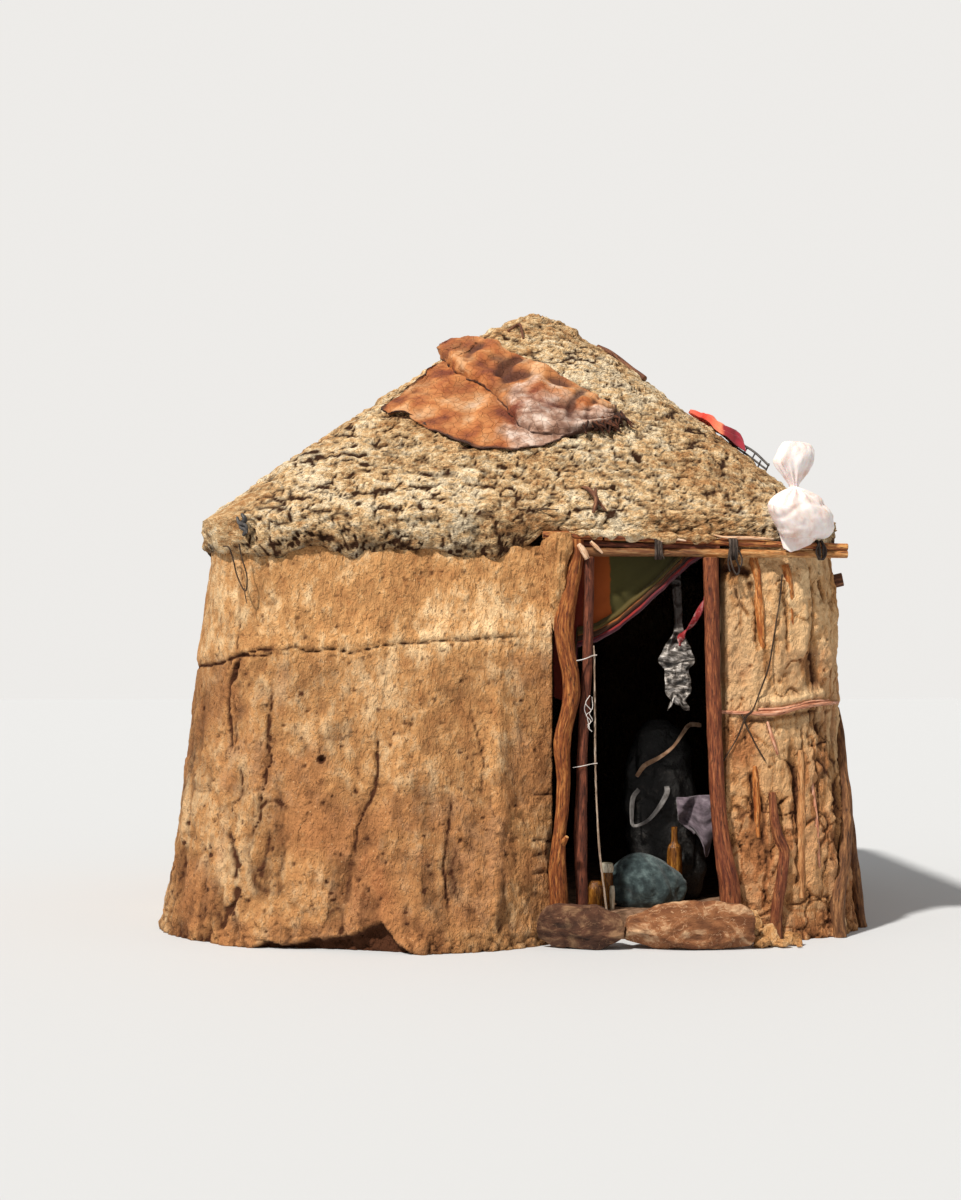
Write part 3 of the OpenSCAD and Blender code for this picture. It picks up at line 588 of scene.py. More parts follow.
# The solids swell a little between these places round the roof and up it.
WAYS = np.array(
    [part + k / (6 + 2 * (part % 2)) for part in range(8) for k in range(6 + 2 * (part % 2))] + [8.0]
)
SHARES = np.array([CROWN, 0.24, 0.36, 0.49, 0.62, 0.75, 0.88, 1])
across, up = np.meshgrid(WAYS, SHARES, indexing="ij")
SWELLS = 0.005 * np.sin(np.pi * (up - CROWN) / (1 - CROWN)) * (
    np.sin(np.radians(720 * across + 900 * up)) + np.sin(np.radians(1080 * across - 1500 * up + 40))
)


def heave(w, q):
    """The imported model's low swells, with straight lines between its stations both ways."""
    w, q = np.mod(w, 8), np.clip(q, CROWN, 1)
    i = np.clip(np.searchsorted(WAYS, w, "right") - 1, 0, len(WAYS) - 2)
    j = np.clip(np.searchsorted(SHARES, q, "right") - 1, 0, len(SHARES) - 2)
    s = (w - WAYS[i]) / (WAYS[i + 1] - WAYS[i])
    t = (q - SHARES[j]) / (SHARES[j + 1] - SHARES[j])
    near = SWELLS[i, j] * (1 - s) + SWELLS[i + 1, j] * s
    return near * (1 - t) + (SWELLS[i, j + 1] * (1 - s) + SWELLS[i + 1, j + 1] * s) * t


def blunted(q, z, deep=0.0):
    """Heights z, but inside the crown a parabola from the rim to the blunt top, less a depth."""
    return np.where(q < CROWN, TOP + (RIM_Z - TOP) * (q / CROWN) ** 2 - deep, z)


def roof_face(w, q):
    """Outer side: height climbs by (1 - q)(1 + q/5) and heaves, up to the blunt top."""
    w, q = np.broadcast_arrays(np.asarray(w, float), np.asarray(q, float))
    z = EAVE_TOP + (PEAK - EAVE_TOP) * climb(q) + heave(w, q)
    return raised(roof_plan(reach(w), w, q), blunted(q, z))


def roof_under(w, q):
    """Inner side, set back on the wall top and as deep as the mud."""
    z = UNDER_LOW + (PEAK - MUD_DEPTH - UNDER_LOW) * climb(q)
    return raised(roof_plan(0 * w - MUD_SEAT, w, q), blunted(q, z, RIM_DEPTH))


LINTEL_LEFT, LINTEL_RIGHT = (corner[0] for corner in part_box("upper_lintel_pole"))


def lintel(x):
    """Heights and radii of both lintel poles at x: straight lines from left to right."""
    share = (x - LINTEL_LEFT) / (LINTEL_RIGHT - LINTEL_LEFT)
    low_r, up_r = 0.015 * (1 - 0.15 * share), 0.013 * (1 - 0.15 * share)
    low_z = 1.3153 - 0.006 * share
    return low_z, low_r, low_z + low_r + up_r + 0.0003 + 0.03 * (1 - share), up_r


def eave_foot(w):
    """Height of the eave's lower edge. Over the doorway the mud was pressed onto the poles."""
    x = outline(0 * w, w)[..., 0]
    _, _, up_z, up_r = lintel(np.clip(x, LINTEL_LEFT, LINTEL_RIGHT))
    on_poles = smooth(-0.02, 0.05, x) * (1 - smooth(1.35, 1.6, w)) * (w < 1.7)
    return EAVE_LOW + (up_z + up_r - 0.006 - EAVE_LOW) * on_poles


def square_rings(size, halves):
    """For a grid of size rings: each place's ring number and its way round, w."""
    j, i = np.meshgrid(halves, np.arange(-size, size + 1), indexing="ij")
    ring = np.maximum(np.abs(i), np.abs(j))
    side = np.select([-j == ring, i == ring, j == ring], [0, 1, 2], 3)
    run = np.choose(side, [i, j, -i, -j]) / np.maximum(ring, 1) * (SIDE + CORNER * np.pi / 4)
    past = np.maximum(0, np.abs(run) - SIDE)
    flat = np.clip(run, -SIDE, SIDE) / (2 * SIDE) + np.sign(run) * past / (CORNER * np.pi / 2)
    return ring, 0.5 + 2 * side + flat


# %% [markdown]
# The crust was thrown on by hand and never smoothed. Seen close it is rounded clods 2 to 7 cm long
# that lie along the roof, with dark creases between them. The size of a noise's value, without its
# sign, has just this shape: round tops, and sharp creases where the noise passes through nought.
# Some places were wetter and dried into flatter plates.


# %% Roof relief
# Each crack has its half width and depth in metres, then w, q, w, q ...
ROOF_CRACKS = (
    (0.006, 0.016, 0.74, 0.66, 0.81, 0.78, 0.83, 0.95, 0.9, 1.0),
    (0.005, 0.014, 0.9, 0.62, 1.0, 0.87, 0.98, 0.99),
    (0.005, 0.01, 0.66, 0.8, 0.69, 0.88, 0.71, 0.95),
    (0.006, 0.014, 0.83, 0.9, 0.86, 0.97, 0.9, 1.0),
    (0.005, 0.01, -0.8, 0.9, -0.5, 0.86, -0.2, 0.9),
    (0.006, 0.014, 1.9, 0.7, 2.3, 0.74, 2.8, 0.7),
    (0.006, 0.014, 3.8, 0.6, 4.3, 0.66, 4.9, 0.6),
    (0.006, 0.014, 5.8, 0.8, 6.3, 0.76, 6.8, 0.8),
)


def clods(p, size, seed):
    """Round lumps with creases between them: |noise|, near 1 on the tops and 0 in the creases."""
    return np.minimum(1, 1.9 * np.abs(noise(p, size, seed)))


def roof_relief(w, q, p):
    """Height of the crust over the plain roof, and how dark it is: painted shade in its creases, gaps
    and cracks.
    """
    lying = p * (1, 1, 1.7) + 0.016 * drift(p, 0.05, 100)
    calm = smooth(0.0, 0.45, noise(p, 0.22, 104) + 0.9 * blot(w, q, (0.9, 0.85), 0.35, 0.25))
    rough = 1 - 0.5 * calm
    # Sampled again from under each lump's top, the lumps lean over their lower edges.
    lying = lying + np.array([0, 0, 0.022]) * clods(lying, 0.07, 107)[..., None]
    large, middle, small = clods(lying, 0.07, 107), clods(lying, 0.036, 108), clods(lying, 0.019, 109)
    skin = 0.003 * noise(p, 0.25, 105) + 0.005 * noise(p, 0.1, 106)
    skin += rough * (0.011 * large + 0.008 * middle + 0.0045 * small - 0.009)
    # Painted shade in the creases between the clods, and darker patches 13 cm across.
    gaps = 1.0 * smooth(0.2, 0.03, large) + 0.9 * smooth(0.18, 0.02, middle)
    gaps = gaps + 0.6 * smooth(0.14, 0.0, small)
    dark = rough * gaps + 0.15 * rough * smooth(0.1, 0.7, noise(p, 0.13, 110))
    # Plates with gaps between them, where the mud was wetter. The gaps are dark with painted shade.
    first, second, owner = cells(lying, 0.06, 117)
    gap = smooth(0.1, 0.02, second - first)
    skin += calm * (0.004 * (owner - 0.5) - 0.005 * gap)
    dark += 0.7 * calm * gap
    skin += smooth(0.4, 0.1, q) * 0.010 * noise(p, 0.05, 118)
    at = p + 0.02 * drift(p, 0.07, 120)
    ragged = 0.5 + 0.8 * np.abs(noise(p, 0.04, 119))
    # The cracks sink and are dark with painted shade.
    for wide, deep, *line in ROOF_CRACKS:
        d, along = to_line(at, roof_face(line[::2], line[1::2]))
        cut = np.exp(-((d / (wide * ragged)) ** 2)) * smooth(0, 0.1, along)
        skin -= deep * cut
        dark += cut
    return skin, np.clip(dark, 0, 1.6)


# %% Roof
ROOF_RINGS = 150
EAVE_RINGS = 15
UP = np.array([0, 0, 1.0])


def roof_piece(name, replaced, halves):
    """Half of the roof, from its eave's foot to its top, closed with its underside."""
    ring, w = square_rings(ROOF_RINGS, halves)
    flat_rings = ROOF_RINGS - EAVE_RINGS
    q = np.clip(ring / flat_rings, 0, 1)
    t = np.clip((ring - flat_rings) / EAVE_RINGS, 0, 1)
    from_front = np.where(w > 7, w - 8, w)
    foot = eave_foot(from_front)
    # The eave hangs ragged, except over the doorway.
    ragged = 1 - smooth(0.47, 0.53, from_front) * (1 - smooth(1.55, 1.7, from_front))
    hang = raised(outline(0 * w, w), foot)
    drop = 0.02 + 0.034 * noise(hang, 0.12, 130) + 0.02 * noise(hang, 0.04, 131)
    drop = ragged * np.maximum(0, drop) + (1 - ragged) * 0.012 * np.maximum(0, noise(hang, 0.07, 135))
    over = reach(w) * (1 - 0.6 * t * t)
    edge = raised(outline(over, w), EAVE_TOP + (foot - drop - EAVE_TOP) * t)
    plain = np.where((t > 0)[..., None], edge, roof_face(w, q))
    skin, dark = roof_relief(w, q, plain)
    # The way out turns from the slope's normal to level at the eave, and to upright at the top.
    slope = -outward(roof_face, w, np.clip(q, 0.02, 0.996))
    level = raised(unit(outline(over + 0.1, w) - outline(over, w)), 0 * t)
    turn = smooth(-0.12, 0.25, t + (q - 1))[..., None]
    tip = smooth(0, 0.05, q)[..., None]
    out = unit(unit(slope * (1 - turn) + level * turn) * tip + UP * (1 - tip))
    shag = ragged * smooth(0.02, 0.25, t) * (1 - 0.5 * smooth(0.85, 1, t))
    tufts = 0.010 * noise(plain * (1, 1, 0.5), 0.03, 132) + 0.012 * noise(plain, 0.06, 133)
    skin = skin + shag * tufts
    skin = skin - 0.006 * smooth(0.9, 1.0, t)
    # Painted shade on the eave's ragged lip, deepest towards its lower edge, and in patches.
    shade = 0.25 * smooth(0.1, 0.4, t) * smooth(-0.1, 0.5, noise(plain, 0.05, 134))
    dark = dark + ragged * (0.34 * smooth(0.35, 0.8, t) + shade)
    calm = knob(w) * smooth(0.85, 1.0, q)
    skin = skin * (1 - 0.75 * calm)
    dark = dark * (1 - 0.8 * calm)
    lower = raised(outline(0 * w - MUD_SEAT, w), UNDER_LOW + (foot - UNDER_LOW) * t)
    under = np.where((t > 0)[..., None], lower, roof_under(w, q))
    stored = {"dark": dark, "rise": skin, "calm": calm}
    return settled(crust(name, plain + skin[..., None] * out, under, 5, stored), replaced)


FRONT_MUD = [
    "front_roof_mud", "front_right_roof_mud", "right_roof_mud", "front_left_roof_mud", "roof_crown",
]
BACK_MUD = ["back_roof_mud", "back_right_roof_mud", "back_left_roof_mud", "left_roof_mud"]
roof = [
    roof_piece("roof_front", FRONT_MUD, np.arange(-ROOF_RINGS, 1)),
    roof_piece("roof_back", BACK_MUD, np.arange(0, ROOF_RINGS + 1)),
]


# %% [markdown]
# Colours are written as sRGB hex values, as a paint chart gives them, and one function turns them
# to the linear values that the shader needs. One more function adds a node with its settings and
# its links. The nodes used most have a short method each, so that a material reads as a short list
# of what is on the surface.


# %% Finishes
def colour(text):
    """Linear colour of an sRGB hex value: c/12.92 under 0.04045, else ((c + 0.055)/1.055)^2.4."""
    parts = [int(text[n : n + 2], 16) / 255 for n in (1, 3, 5)]
    return (*[c / 12.92 if c < 0.04045 else ((c + 0.055) / 1.055) ** 2.4 for c in parts], 1)


def node(tree, kind, inputs=None, stops=(), **settings):
    """Adds a shader node. A link is given as an output socket, and stops are a ramp's colours."""
    made = tree.nodes.new("ShaderNode" + kind)
    for key, value in settings.items():
        setattr(made, key, value)
    for key, value in (inputs or {}).items():
        if isinstance(value, bpy.types.NodeSocket):
            tree.links.new(value, made.inputs[key])
        else:
            made.inputs[key].default_value = value
    for n, (place, tone) in enumerate(stops):
        ramp = made.color_ramp.elements
        element = ramp[n] if n < len(ramp) else ramp.new(place)
        element.position, element.color = place, colour(tone)
    return made


class Paint:
    """A new material with a Principled shader. Each method adds a node and gives its output."""

    def __init__(self, name, **shader):
        self.material = bpy.data.materials.new(name)
        self.material.use_nodes = True
        self.tree = self.material.node_tree
        self.tree.nodes.clear()
        shader = {key.replace("_", " "): value for key, value in shader.items()}
        self.skin = node(self.tree, "BsdfPrincipled", shader)
        node(self.tree, "OutputMaterial", {"Surface": self.skin.outputs["BSDF"]})

    def stored(self, name, output="Fac"):
        """What the mesh has stored on its points under a name."""
        return node(self.tree, "Attribute", attribute_name=name).outputs[output]

    def place(self):
        """The place on the object, in metres."""
        return node(self.tree, "TexCoord").outputs["Object"]

    def scaled(self, at, scale, turn=(0, 0, 0)):
        """Places turned and scaled. Over 1, a scale squeezes what is drawn there."""
        return node(self.tree, "Mapping", {"Vector": at, "Rotation": turn, "Scale": scale}).outputs[0]

    def noise(self, at, size, detail, rough=0.5, bent=0.0):
        """Noise in lumps of that many metres."""
        return node(self.tree, "TexNoise", {
            "Vector": at, "Scale": 1 / size, "Detail": detail, "Roughness": rough, "Distortion": bent,
        }).outputs["Fac"]

    def ramp(self, value, places, tones):
        """The tones, at those places on the value."""
        return node(self.tree, "ValToRGB", {"Fac": value}, zip(places, tones)).outputs["Color"]

    def ranged(self, value, low, high, top=1.0, bottom=0.0):
        """How far the value is from low to high, as a number from bottom to top."""
        return node(self.tree, "MapRange", {
            "Value": value, "From Min": low, "From Max": high, "To Min": bottom, "To Max": top,
        }).outputs[0]

    def math(self, operation, *values):
        """One sum."""
        return node(self.tree, "Math", dict(enumerate(values)), operation=operation).outputs[0]

    def plus(self, a, times, b):
        """a times a number, plus b."""
        return self.math("MULTIPLY_ADD", a, times, b)

    def off_middle(self, value):
        """|value - 1/2|, which is 0 along thin lines where a noise passes its middle value."""
        return self.math("ABSOLUTE", self.math("SUBTRACT", value, 0.5))

    def axis(self, at, name):
        """One coordinate of a place."""
        return node(self.tree, "SeparateXYZ", {"Vector": at}).outputs[name]

    def mix(self, share, a, b):
        """Colour a, turned to colour b by share. A hex value and an output socket both serve."""
        a, b = (colour(c) if isinstance(c, str) else c for c in (a, b))
        inputs = {"Factor": share, "A": a, "B": b}
        return node(self.tree, "Mix", inputs, data_type="RGBA").outputs["Result"]

    def weave(self, at, thread):
        """Threads that cross: two sine waves over the cloth's own coordinates."""
        inputs = {"Vector": at, "Scale": 0.314 / thread, "Distortion": 0.6}
        waves = [node(self.tree, "TexWave", inputs, bands_direction=way).outputs["Fac"] for way in "XY"]
        return self.math("ADD", *waves)

    def done(self, base, height, distance, strength):
        """The material, with its colour and with the height as a bump of so many metres."""
        self.tree.links.new(base, self.skin.inputs["Base Color"])
        bump = node(self.tree, "Bump", {"Height": height, "Distance": distance, "Strength": strength})
        self.tree.links.new(bump.outputs["Normal"], self.skin.inputs["Normal"])
        return self.material


def wear(piece, material):
    """Puts a material on every slot of a piece."""
    for slot in piece.material_slots:
        slot.material = material
    if not piece.material_slots:
        piece.data.materials.append(material)


# %% [markdown]
# Sun-dried mud plaster is clay and dung, pressed on by hand. It is quite matt, so its roughness is
# near 1. Its colour drifts over a few hand spans, specks of chaff show in it, and every crack is
# painted dark brown as shade. The skin's own depth, stored on its points, says where that is, and it
# also paints raised places lighter and sunk ones darker. Inside, the mud is darkened to a very dark brown.


# %% Mud
def mud_finish(name, tones, red, flow, crease, grain, fleck, spread):
    """Matt mud in four tones, darkest first: patches of 0.3 m and 4 cm, lumps of grain metres with
    painted shade in their creases, painted flecks of shade and specks of chaff. flow squeezes the lumps
    in height: over 1 they lie level. The tones lie spread apart on the noise, so a wide spread gives
    calm colour."""
    m = Paint(name, Roughness=0.93, IOR=1.45, Specular_IOR_Level=0.2)
    darkest, *others = tones.split()
    place = m.place()
    flowing = m.scaled(place, (1, 1, flow))
    patch = m.noise(flowing, 0.04, 7, 0.72)
    drifts = m.plus(patch, 0.6, m.math("MULTIPLY", m.noise(place, 0.3, 3, 0.55), 0.4))
    base = m.ramp(drifts, (0.5 - spread, 0.5, 0.5 + spread), others)
    ruddy = m.ranged(m.math("MULTIPLY", patch, m.stored("ruddy")), 0.02, 0.55)
    base = m.mix(ruddy, base, red)
    lump = m.off_middle(m.noise(flowing, grain, 3, 0.6, 0.3))
    pits = m.noise(flowing, 0.014, 4, 0.65)
    # Painted shade: dark in the lumps' creases, and in flecks where the pits' noise is low.
    thin = m.math("MAXIMUM", m.ranged(lump, 0.034, 0, crease), m.ranged(pits, 0.415, 0.35, fleck))
    thin = m.math("MULTIPLY", thin, m.ranged(m.stored("calm"), 0, 1, 0.25, 1))
    base = m.mix(thin, base, darkest)
    # Painted light and shade: raised places are lighter and sunk ones darker.
    bright = m.ranged(m.stored("rise"), -0.015, 0.015, 1.12, 0.82)
    lit = node(m.tree, "VectorMath", {0: base, "Scale": bright}, operation="SCALE").outputs[0]
    # Chaff: one speck in five of the cells 8 mm wide, most of them pale.
    specks = node(m.tree, "TexVoronoi", {"Vector": place, "Scale": 1 / 0.008})
    chance = node(m.tree, "SeparateColor", {"Color": specks.outputs["Color"]}).outputs
    few = m.math("GREATER_THAN", chance[0], 0.8)
    spot = m.math("MULTIPLY", m.ranged(specks.outputs["Distance"], 0.36, 0.2), few)
    tint = m.mix(m.math("GREATER_THAN", chance[1], 0.25), others[-1], darkest)
    lit = m.mix(m.math("MULTIPLY", spot, 0.45), lit, tint)
    # The stored darkness paints shade into cracks, pits and gaps, and pale mud where it is below 0.
    dark = m.stored("dark")
    lit = m.mix(m.ranged(dark, 0, -0.6, 0.7), lit, others[-1])
    depth = m.ranged(m.plus(m.noise(flowing, 0.01, 4), 0.6, dark), 0.32, 1.25)
    shaded = m.mix(depth, lit, darkest)
    # The inner faces are darkened to a very dark brown.
    inside_darkened = m.mix(m.math("MULTIPLY", m.stored("inner"), 0.85), shaded, "#2E2019")
    return m.done(inside_darkened, m.plus(pits, 0.5, m.plus(lump, 2.2, patch)), 0.016, 0.9)


roof_mud = mud_finish(
    "sun_dried_roof_mud", "#38200F #BC8C5C #ECC896 #FFEBC8", "#B88458", 1.8, 0.6, 0.024, 0.85, 0.08
)
wall_mud = mud_finish(
    "sun_dried_wall_plaster", "#4C2C1A #AC784A #CB9863 #EECB9C", "#AA7046", 0.6, 0.14, 0.03, 0.6, 0.11
)
for piece in roof:
    wear(piece, roof_mud)
for piece in walls:
    wear(piece, wall_mud)

# %% [markdown]
# The doorway is framed with rough poles that keep their bark and every bend they grew with. A curve
# with a bevel would give a plain tube, so a smooth path carries rings of points instead, and noise
# that runs along the pole raises the bark. Each point's place in the bark goes to the material as an
# attribute, so that the streaks follow every bend.


# %% Limbs
def through(stops, count):
    """Values on the Catmull-Rom curve that passes through all the stops, along the first axis."""
    p = np.asarray(stops, float)
    p = np.concatenate([2 * p[:1] - p[1:2], p, 2 * p[-1:] - p[-2:-1]])
    t = np.linspace(0, len(p) - 3, count)
    n = np.minimum(t.astype(int), len(p) - 4)
    t = (t - n).reshape(-1, *[1] * (p.ndim - 1))
    a, b, c, d = p[n], p[n + 1], p[n + 2], p[n + 3]
    return b + 0.5 * t * (c - a + t * (2 * a - 5 * b + 4 * c - d + t * (3 * b - a - 3 * c + d)))


def smooth_path(stops, step):
    """Evenly spaced (x, y, z, radius) along the smooth curve through the stops."""
    fine = through(stops, 24 * len(stops))
    run = np.concatenate([[0], np.cumsum(np.linalg.norm(np.diff(fine[:, :3], axis=0), axis=1))])
    even = np.linspace(0, run[-1], max(4, round(run[-1] / step)))
    return np.stack([np.interp(even, run, fine[:, n]) for n in range(4)], -1)


def limb_piece(name, limbs, around, step, rough, seed, look, replaced=()):
    """Poles in one mesh. Ring points are centre + r (side cos a + up sin a), where r has furrows of
    noise, rough times as deep as usual. A smaller ring at each end carries the flat cut."""
    points, faces, grain, cut = [], [], [], []
    turn = np.arange(around) * 2 * np.pi / around
    for n, stops in enumerate(limbs):
        path = smooth_path(stops, step)
        centre, r = path[:, :3], path[:, 3:]
        ahead = unit(np.gradient(centre, axis=0))
        side = unit(np.cross(ahead, (0.03, 1, 0.02)))
        up = np.cross(ahead, side)
        run = np.linspace(0, len(path) * step, len(path))[:, None]
        place = np.stack(np.broadcast_arrays(r * np.cos(turn), r * np.sin(turn), 0.12 * run), -1)
        place = place + 3.1 * (n + 1) + seed
        bark = 0.5 * noise(place * (1, 1, 3), 0.028, 140) + 0.35 * noise(place, 0.009, 141)
        bark = bark + 0.2 * noise(place, 0.0045, 142)
        thick = r + rough * bark * np.minimum(0.006, 0.2 * r)
        way = side[:, None] * np.cos(turn)[:, None] + up[:, None] * np.sin(turn)[:, None]
        ring = centre[:, None] + thick[..., None] * way
        first = centre[0] + 0.8 * (ring[0] - centre[0]) - 0.0015 * ahead[0]
        last = centre[-1] + 0.8 * (ring[-1] - centre[-1]) + 0.0015 * ahead[-1]
        rings = np.concatenate([[first], ring, [last]])
        rings[..., 2] = np.maximum(rings[..., 2], 0)
        faces += tube_faces(len(rings), around, sum(map(len, points)))
        points.append(rings.reshape(-1, 3))
        grain.append(np.concatenate([place[:1], place, place[-1:]]).reshape(-1, 3))
        ends = np.zeros((len(rings), around))
        ends[[0, -1]] = 1
        cut.append(ends.ravel())
    points, grain, cut = (np.concatenate(parts) for parts in (points, grain, cut))
    piece = new_piece(name, points, faces, {"grain": grain, "cut": cut})
    piece.data.set_sharp_from_angle(angle=0.8)
    wear(settled(piece, replaced), look)


# %% [markdown]
# Bark is matt, streaked along the pole, and darkest in its furrows. Where a pole is cut, and where
# bark has rubbed off, the wood is lighter. One function serves all the poles and twigs, because
# they differ in colour only: the crooked post is sun-bleached orange, the straight one dark red.


# %% Bark
def bark(name, tones, cut_tone, rough=0.8, darkened=None):
    """Streaks 8 mm wide between three tones, with furrows 3.5 mm wide in the first, darkest one.
    Its last argument gives two places on x: from the second to the first the pole darkens with
    painted shade."""
    m = Paint(name, Roughness=rough, IOR=1.5, Specular_IOR_Level=0.3)
    darkest, *others = tones.split()
    place = m.stored("grain", "Vector")
    streak, furrow = m.noise(place, 0.008, 5, 0.7), m.noise(place, 0.0035, 4, 0.6)
    dark = m.mix(m.ranged(furrow, 0.46, 0.34), m.ramp(streak, (0.36, 0.5, 0.64), others), darkest)
    # Painted shade: the pole darkens along x between the two places.
    if darkened:
        dark = m.mix(m.ranged(m.axis(m.place(), "X"), darkened[1], darkened[0], 0.65), dark, darkest)
    return m.done(m.mix(m.stored("cut"), dark, cut_tone), m.plus(streak, 0.5, furrow), 0.003, 0.9)


dark_bark = bark("dark_red_bark", "#1A0C08 #3C1D15 #603222 #8A4E36", "#A87650")

# %% Door posts
POST_TOPS = {
    name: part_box(name)[1][2] for name in ("crooked_door_post", "straight_door_post", "right_door_post")
}
crooked = [
    (0.096, -1.183, 0.0, 0.033), (0.092, -1.183, 0.08, 0.031), (0.087, -1.183, 0.16, 0.029),
    (0.083, -1.182, 0.24, 0.029), (0.085, -1.182, 0.29, 0.027), (0.091, -1.181, 0.366, 0.023),
    (0.1, -1.178, 0.45, 0.0215), (0.106, -1.175, 0.546, 0.0225), (0.1, -1.171, 0.64, 0.028),
    (0.104, -1.168, 0.7, 0.0275), (0.119, -1.165, 0.759, 0.0275), (0.133, -1.161, 0.83, 0.0275),
    (0.132, -1.157, 0.89, 0.028), (0.122, -1.153, 0.95, 0.029), (0.112, -1.149, 1.02, 0.031),
    (0.11, -1.144, 1.08, 0.032), (0.125, -1.137, 1.162, 0.0295), (0.143, -1.13, 1.25, 0.027),
    (0.153, -1.125, 1.31, 0.024), (0.156, -1.122, POST_TOPS["crooked_door_post"] - 0.002, 0.022),
]
knot = [(0.1, -1.19, 0.335, 0.012), (0.107, -1.207, 0.352, 0.01), (0.113, -1.214, 0.362, 0.007)]
limb_piece(
    "crooked_post", [crooked, knot], 40, 0.0055, 1.0, 0,
    bark("sun_bleached_bark", "#2A1006 #582711 #82461E #B4763E", "#C9965C"), ["crooked_door_post"],
)
straight = [
    (0.168, -1.13, 0.002, 0.021), (0.171, -1.13, 0.15, 0.0205), (0.167, -1.129, 0.283, 0.0215),
    (0.168, -1.128, 0.438, 0.021), (0.172, -1.127, 0.542, 0.0185), (0.174, -1.127, 0.647, 0.0175),
    (0.179, -1.126, 0.758, 0.0185), (0.186, -1.125, 0.869, 0.0175), (0.193, -1.124, 1.004, 0.0172),
    (0.196, -1.123, 1.163, 0.0172), (0.197, -1.122, POST_TOPS["straight_door_post"] - 0.0025, 0.018),
]
limb_piece(
    "straight_post", [straight], 28, 0.0065, 0.8, 0.7, dark_bark, ["straight_door_post"]
)
jamb = [
    (0.669, -1.1745, 0.0, 0.0365), (0.669, -1.1745, 0.02, 0.0365), (0.667, -1.173, 0.177, 0.035),
    (0.653, -1.168, 0.26, 0.031), (0.641, -1.163, 0.344, 0.028), (0.63, -1.158, 0.45, 0.026),
    (0.622, -1.151, 0.58, 0.025), (0.617, -1.14, 0.815, 0.0245), (0.613, -1.132, 1.085, 0.0255),
    (0.609, -1.13, 1.261, 0.026), (0.609, -1.13, POST_TOPS["right_door_post"] - 0.0025, 0.026),
]
limb_piece(
    "right_post", [jamb], 36, 0.006, 0.7, 1.9,
    bark("smooth_red_bark", "#260F09 #522416 #743C22 #A0603A", "#B07C50", 0.7), ["right_door_post"],
)

# %% [markdown]
# Two thin poles lie over the posts as a lintel. The lower one is peeled, with painted shade along
# its left part over the doorway, the upper one keeps patches of dark bark, and both stick out past the
# last post at the right.

# %% Lintels
LINTEL_Y = -1.122
SWAY = 0.003


def lintel_stops(start, end, count, upper):
    """Stops along a lintel pole, which sways a little from side to side."""
    x = np.linspace(start, end, count)
    low_z, low_r, up_z, up_r = lintel(x)
    y = LINTEL_Y + SWAY * np.sin(9 * x + 2 * upper) - 0.6 * SWAY
    z, r = (up_z, up_r) if upper else (low_z, low_r)
    return np.stack([x, y, z, r * (1 - 0.05 * np.cos(14 * x))], -1).tolist()


limb_piece(
    "lower_lintel", [lintel_stops(0.183, 1.077, 9, False)], 24, 0.006, 0.8, 0.2,
    bark("peeled_lintel_wood", "#3E1C0E #87502A #BA8048 #E0B47C", "#DDB078", 0.6, (0.56, 0.64)),
    ["lower_lintel_pole"],
)
limb_piece(
    "upper_lintel",
    [lintel_stops(0.041, 0.24, 5, True), lintel_stops(0.25, 1.077, 9, True)], 24, 0.006, 1.2, 0.4,
    bark("flaking_lintel_bark", "#2B120B #5E2C1C #985632 #D09858", "#C9905C"), ["upper_lintel_pole"],
)

# %% [markdown]
# Right of the doorway some poles stand proud of the weathered plaster: peeled orange ones, a dark
# red root by the doorway, a reddish one beside it, and dark ones that lean at the corner. They are
# laid on the wall face by their places (w, height), sunk into the mud by part of their girth.


# %% Face poles
def on_wall(stops, sunk=0.4):
    """Smooth path through (w, height, radius) stops, turned to points on the swelling wall face."""
    w, z, r = np.moveaxis(through(stops, 5 * len(stops)), -1, 0)
    z = np.clip(z, 0, WALL_TOP)
    plain = wall_face(w, z)
    out = raised(unit(outline(0.1 + 0 * z, w) - outline(0 * z, w)), 0 * z)
    lift = wall_swell(plain) + r * (1 - sunk)
    return np.concatenate([plain + lift[:, None] * out, r[:, None]], -1).tolist()


root = [
    (1.125, 0.0, 0.02), (1.125, 0.05, 0.02), (1.14, 0.14, 0.019), (1.165, 0.22, 0.018),
    (1.18, 0.3, 0.0175), (1.15, 0.35, 0.017), (1.13, 0.41, 0.016), (1.12, 0.5, 0.013),
]
limb_piece(
    "panel_root", [on_wall(root, 0.2)], 28, 0.006, 1.4, 0.9,
    bark("dark_root_bark", "#240F08 #4C2415 #733D25 #A0683F", "#7A4228"), ["panel_poles"],
)
peeled = [
    [(1.02, 1.31, 0.013), (1.045, 1.26, 0.016), (1.06, 1.2, 0.012), (1.07, 1.13, 0.014),
     (1.075, 1.06, 0.012), (1.085, 0.99, 0.008)],
    [(1.235, 1.275, 0.012), (1.255, 1.22, 0.016), (1.265, 1.16, 0.014), (1.27, 1.12, 0.009),
     (1.28, 1.06, 0.008)],
    [(1.025, 0.59, 0.008), (1.033, 0.54, 0.011), (1.04, 0.46, 0.012), (1.04, 0.4, 0.01),
     (1.045, 0.35, 0.006)],
]
limb_piece(
    "peeled_panel_poles", [on_wall(stops, 1.25) for stops in peeled], 24, 0.006, 2.0, 2.2,
    bark("peeled_orange_pole", "#3E180A #84401A #B06A30 #D69A60", "#C08A55", 0.7), ["panel_poles"],
)
muddy = [(1.33, 0.64, 0.011), (1.325, 0.49, 0.014), (1.31, 0.38, 0.015), (1.295, 0.27, 0.015),
         (1.295, 0.14, 0.012)]
limb_piece(
    "reddish_panel_pole", [on_wall(muddy, 1.1)], 24, 0.006, 1.2, 3.1,
    bark("muddy_red_bark", "#4E2A18 #8E5A34 #B07A4C #CC9C6C", "#C09060", 0.9), ["panel_poles"],
)
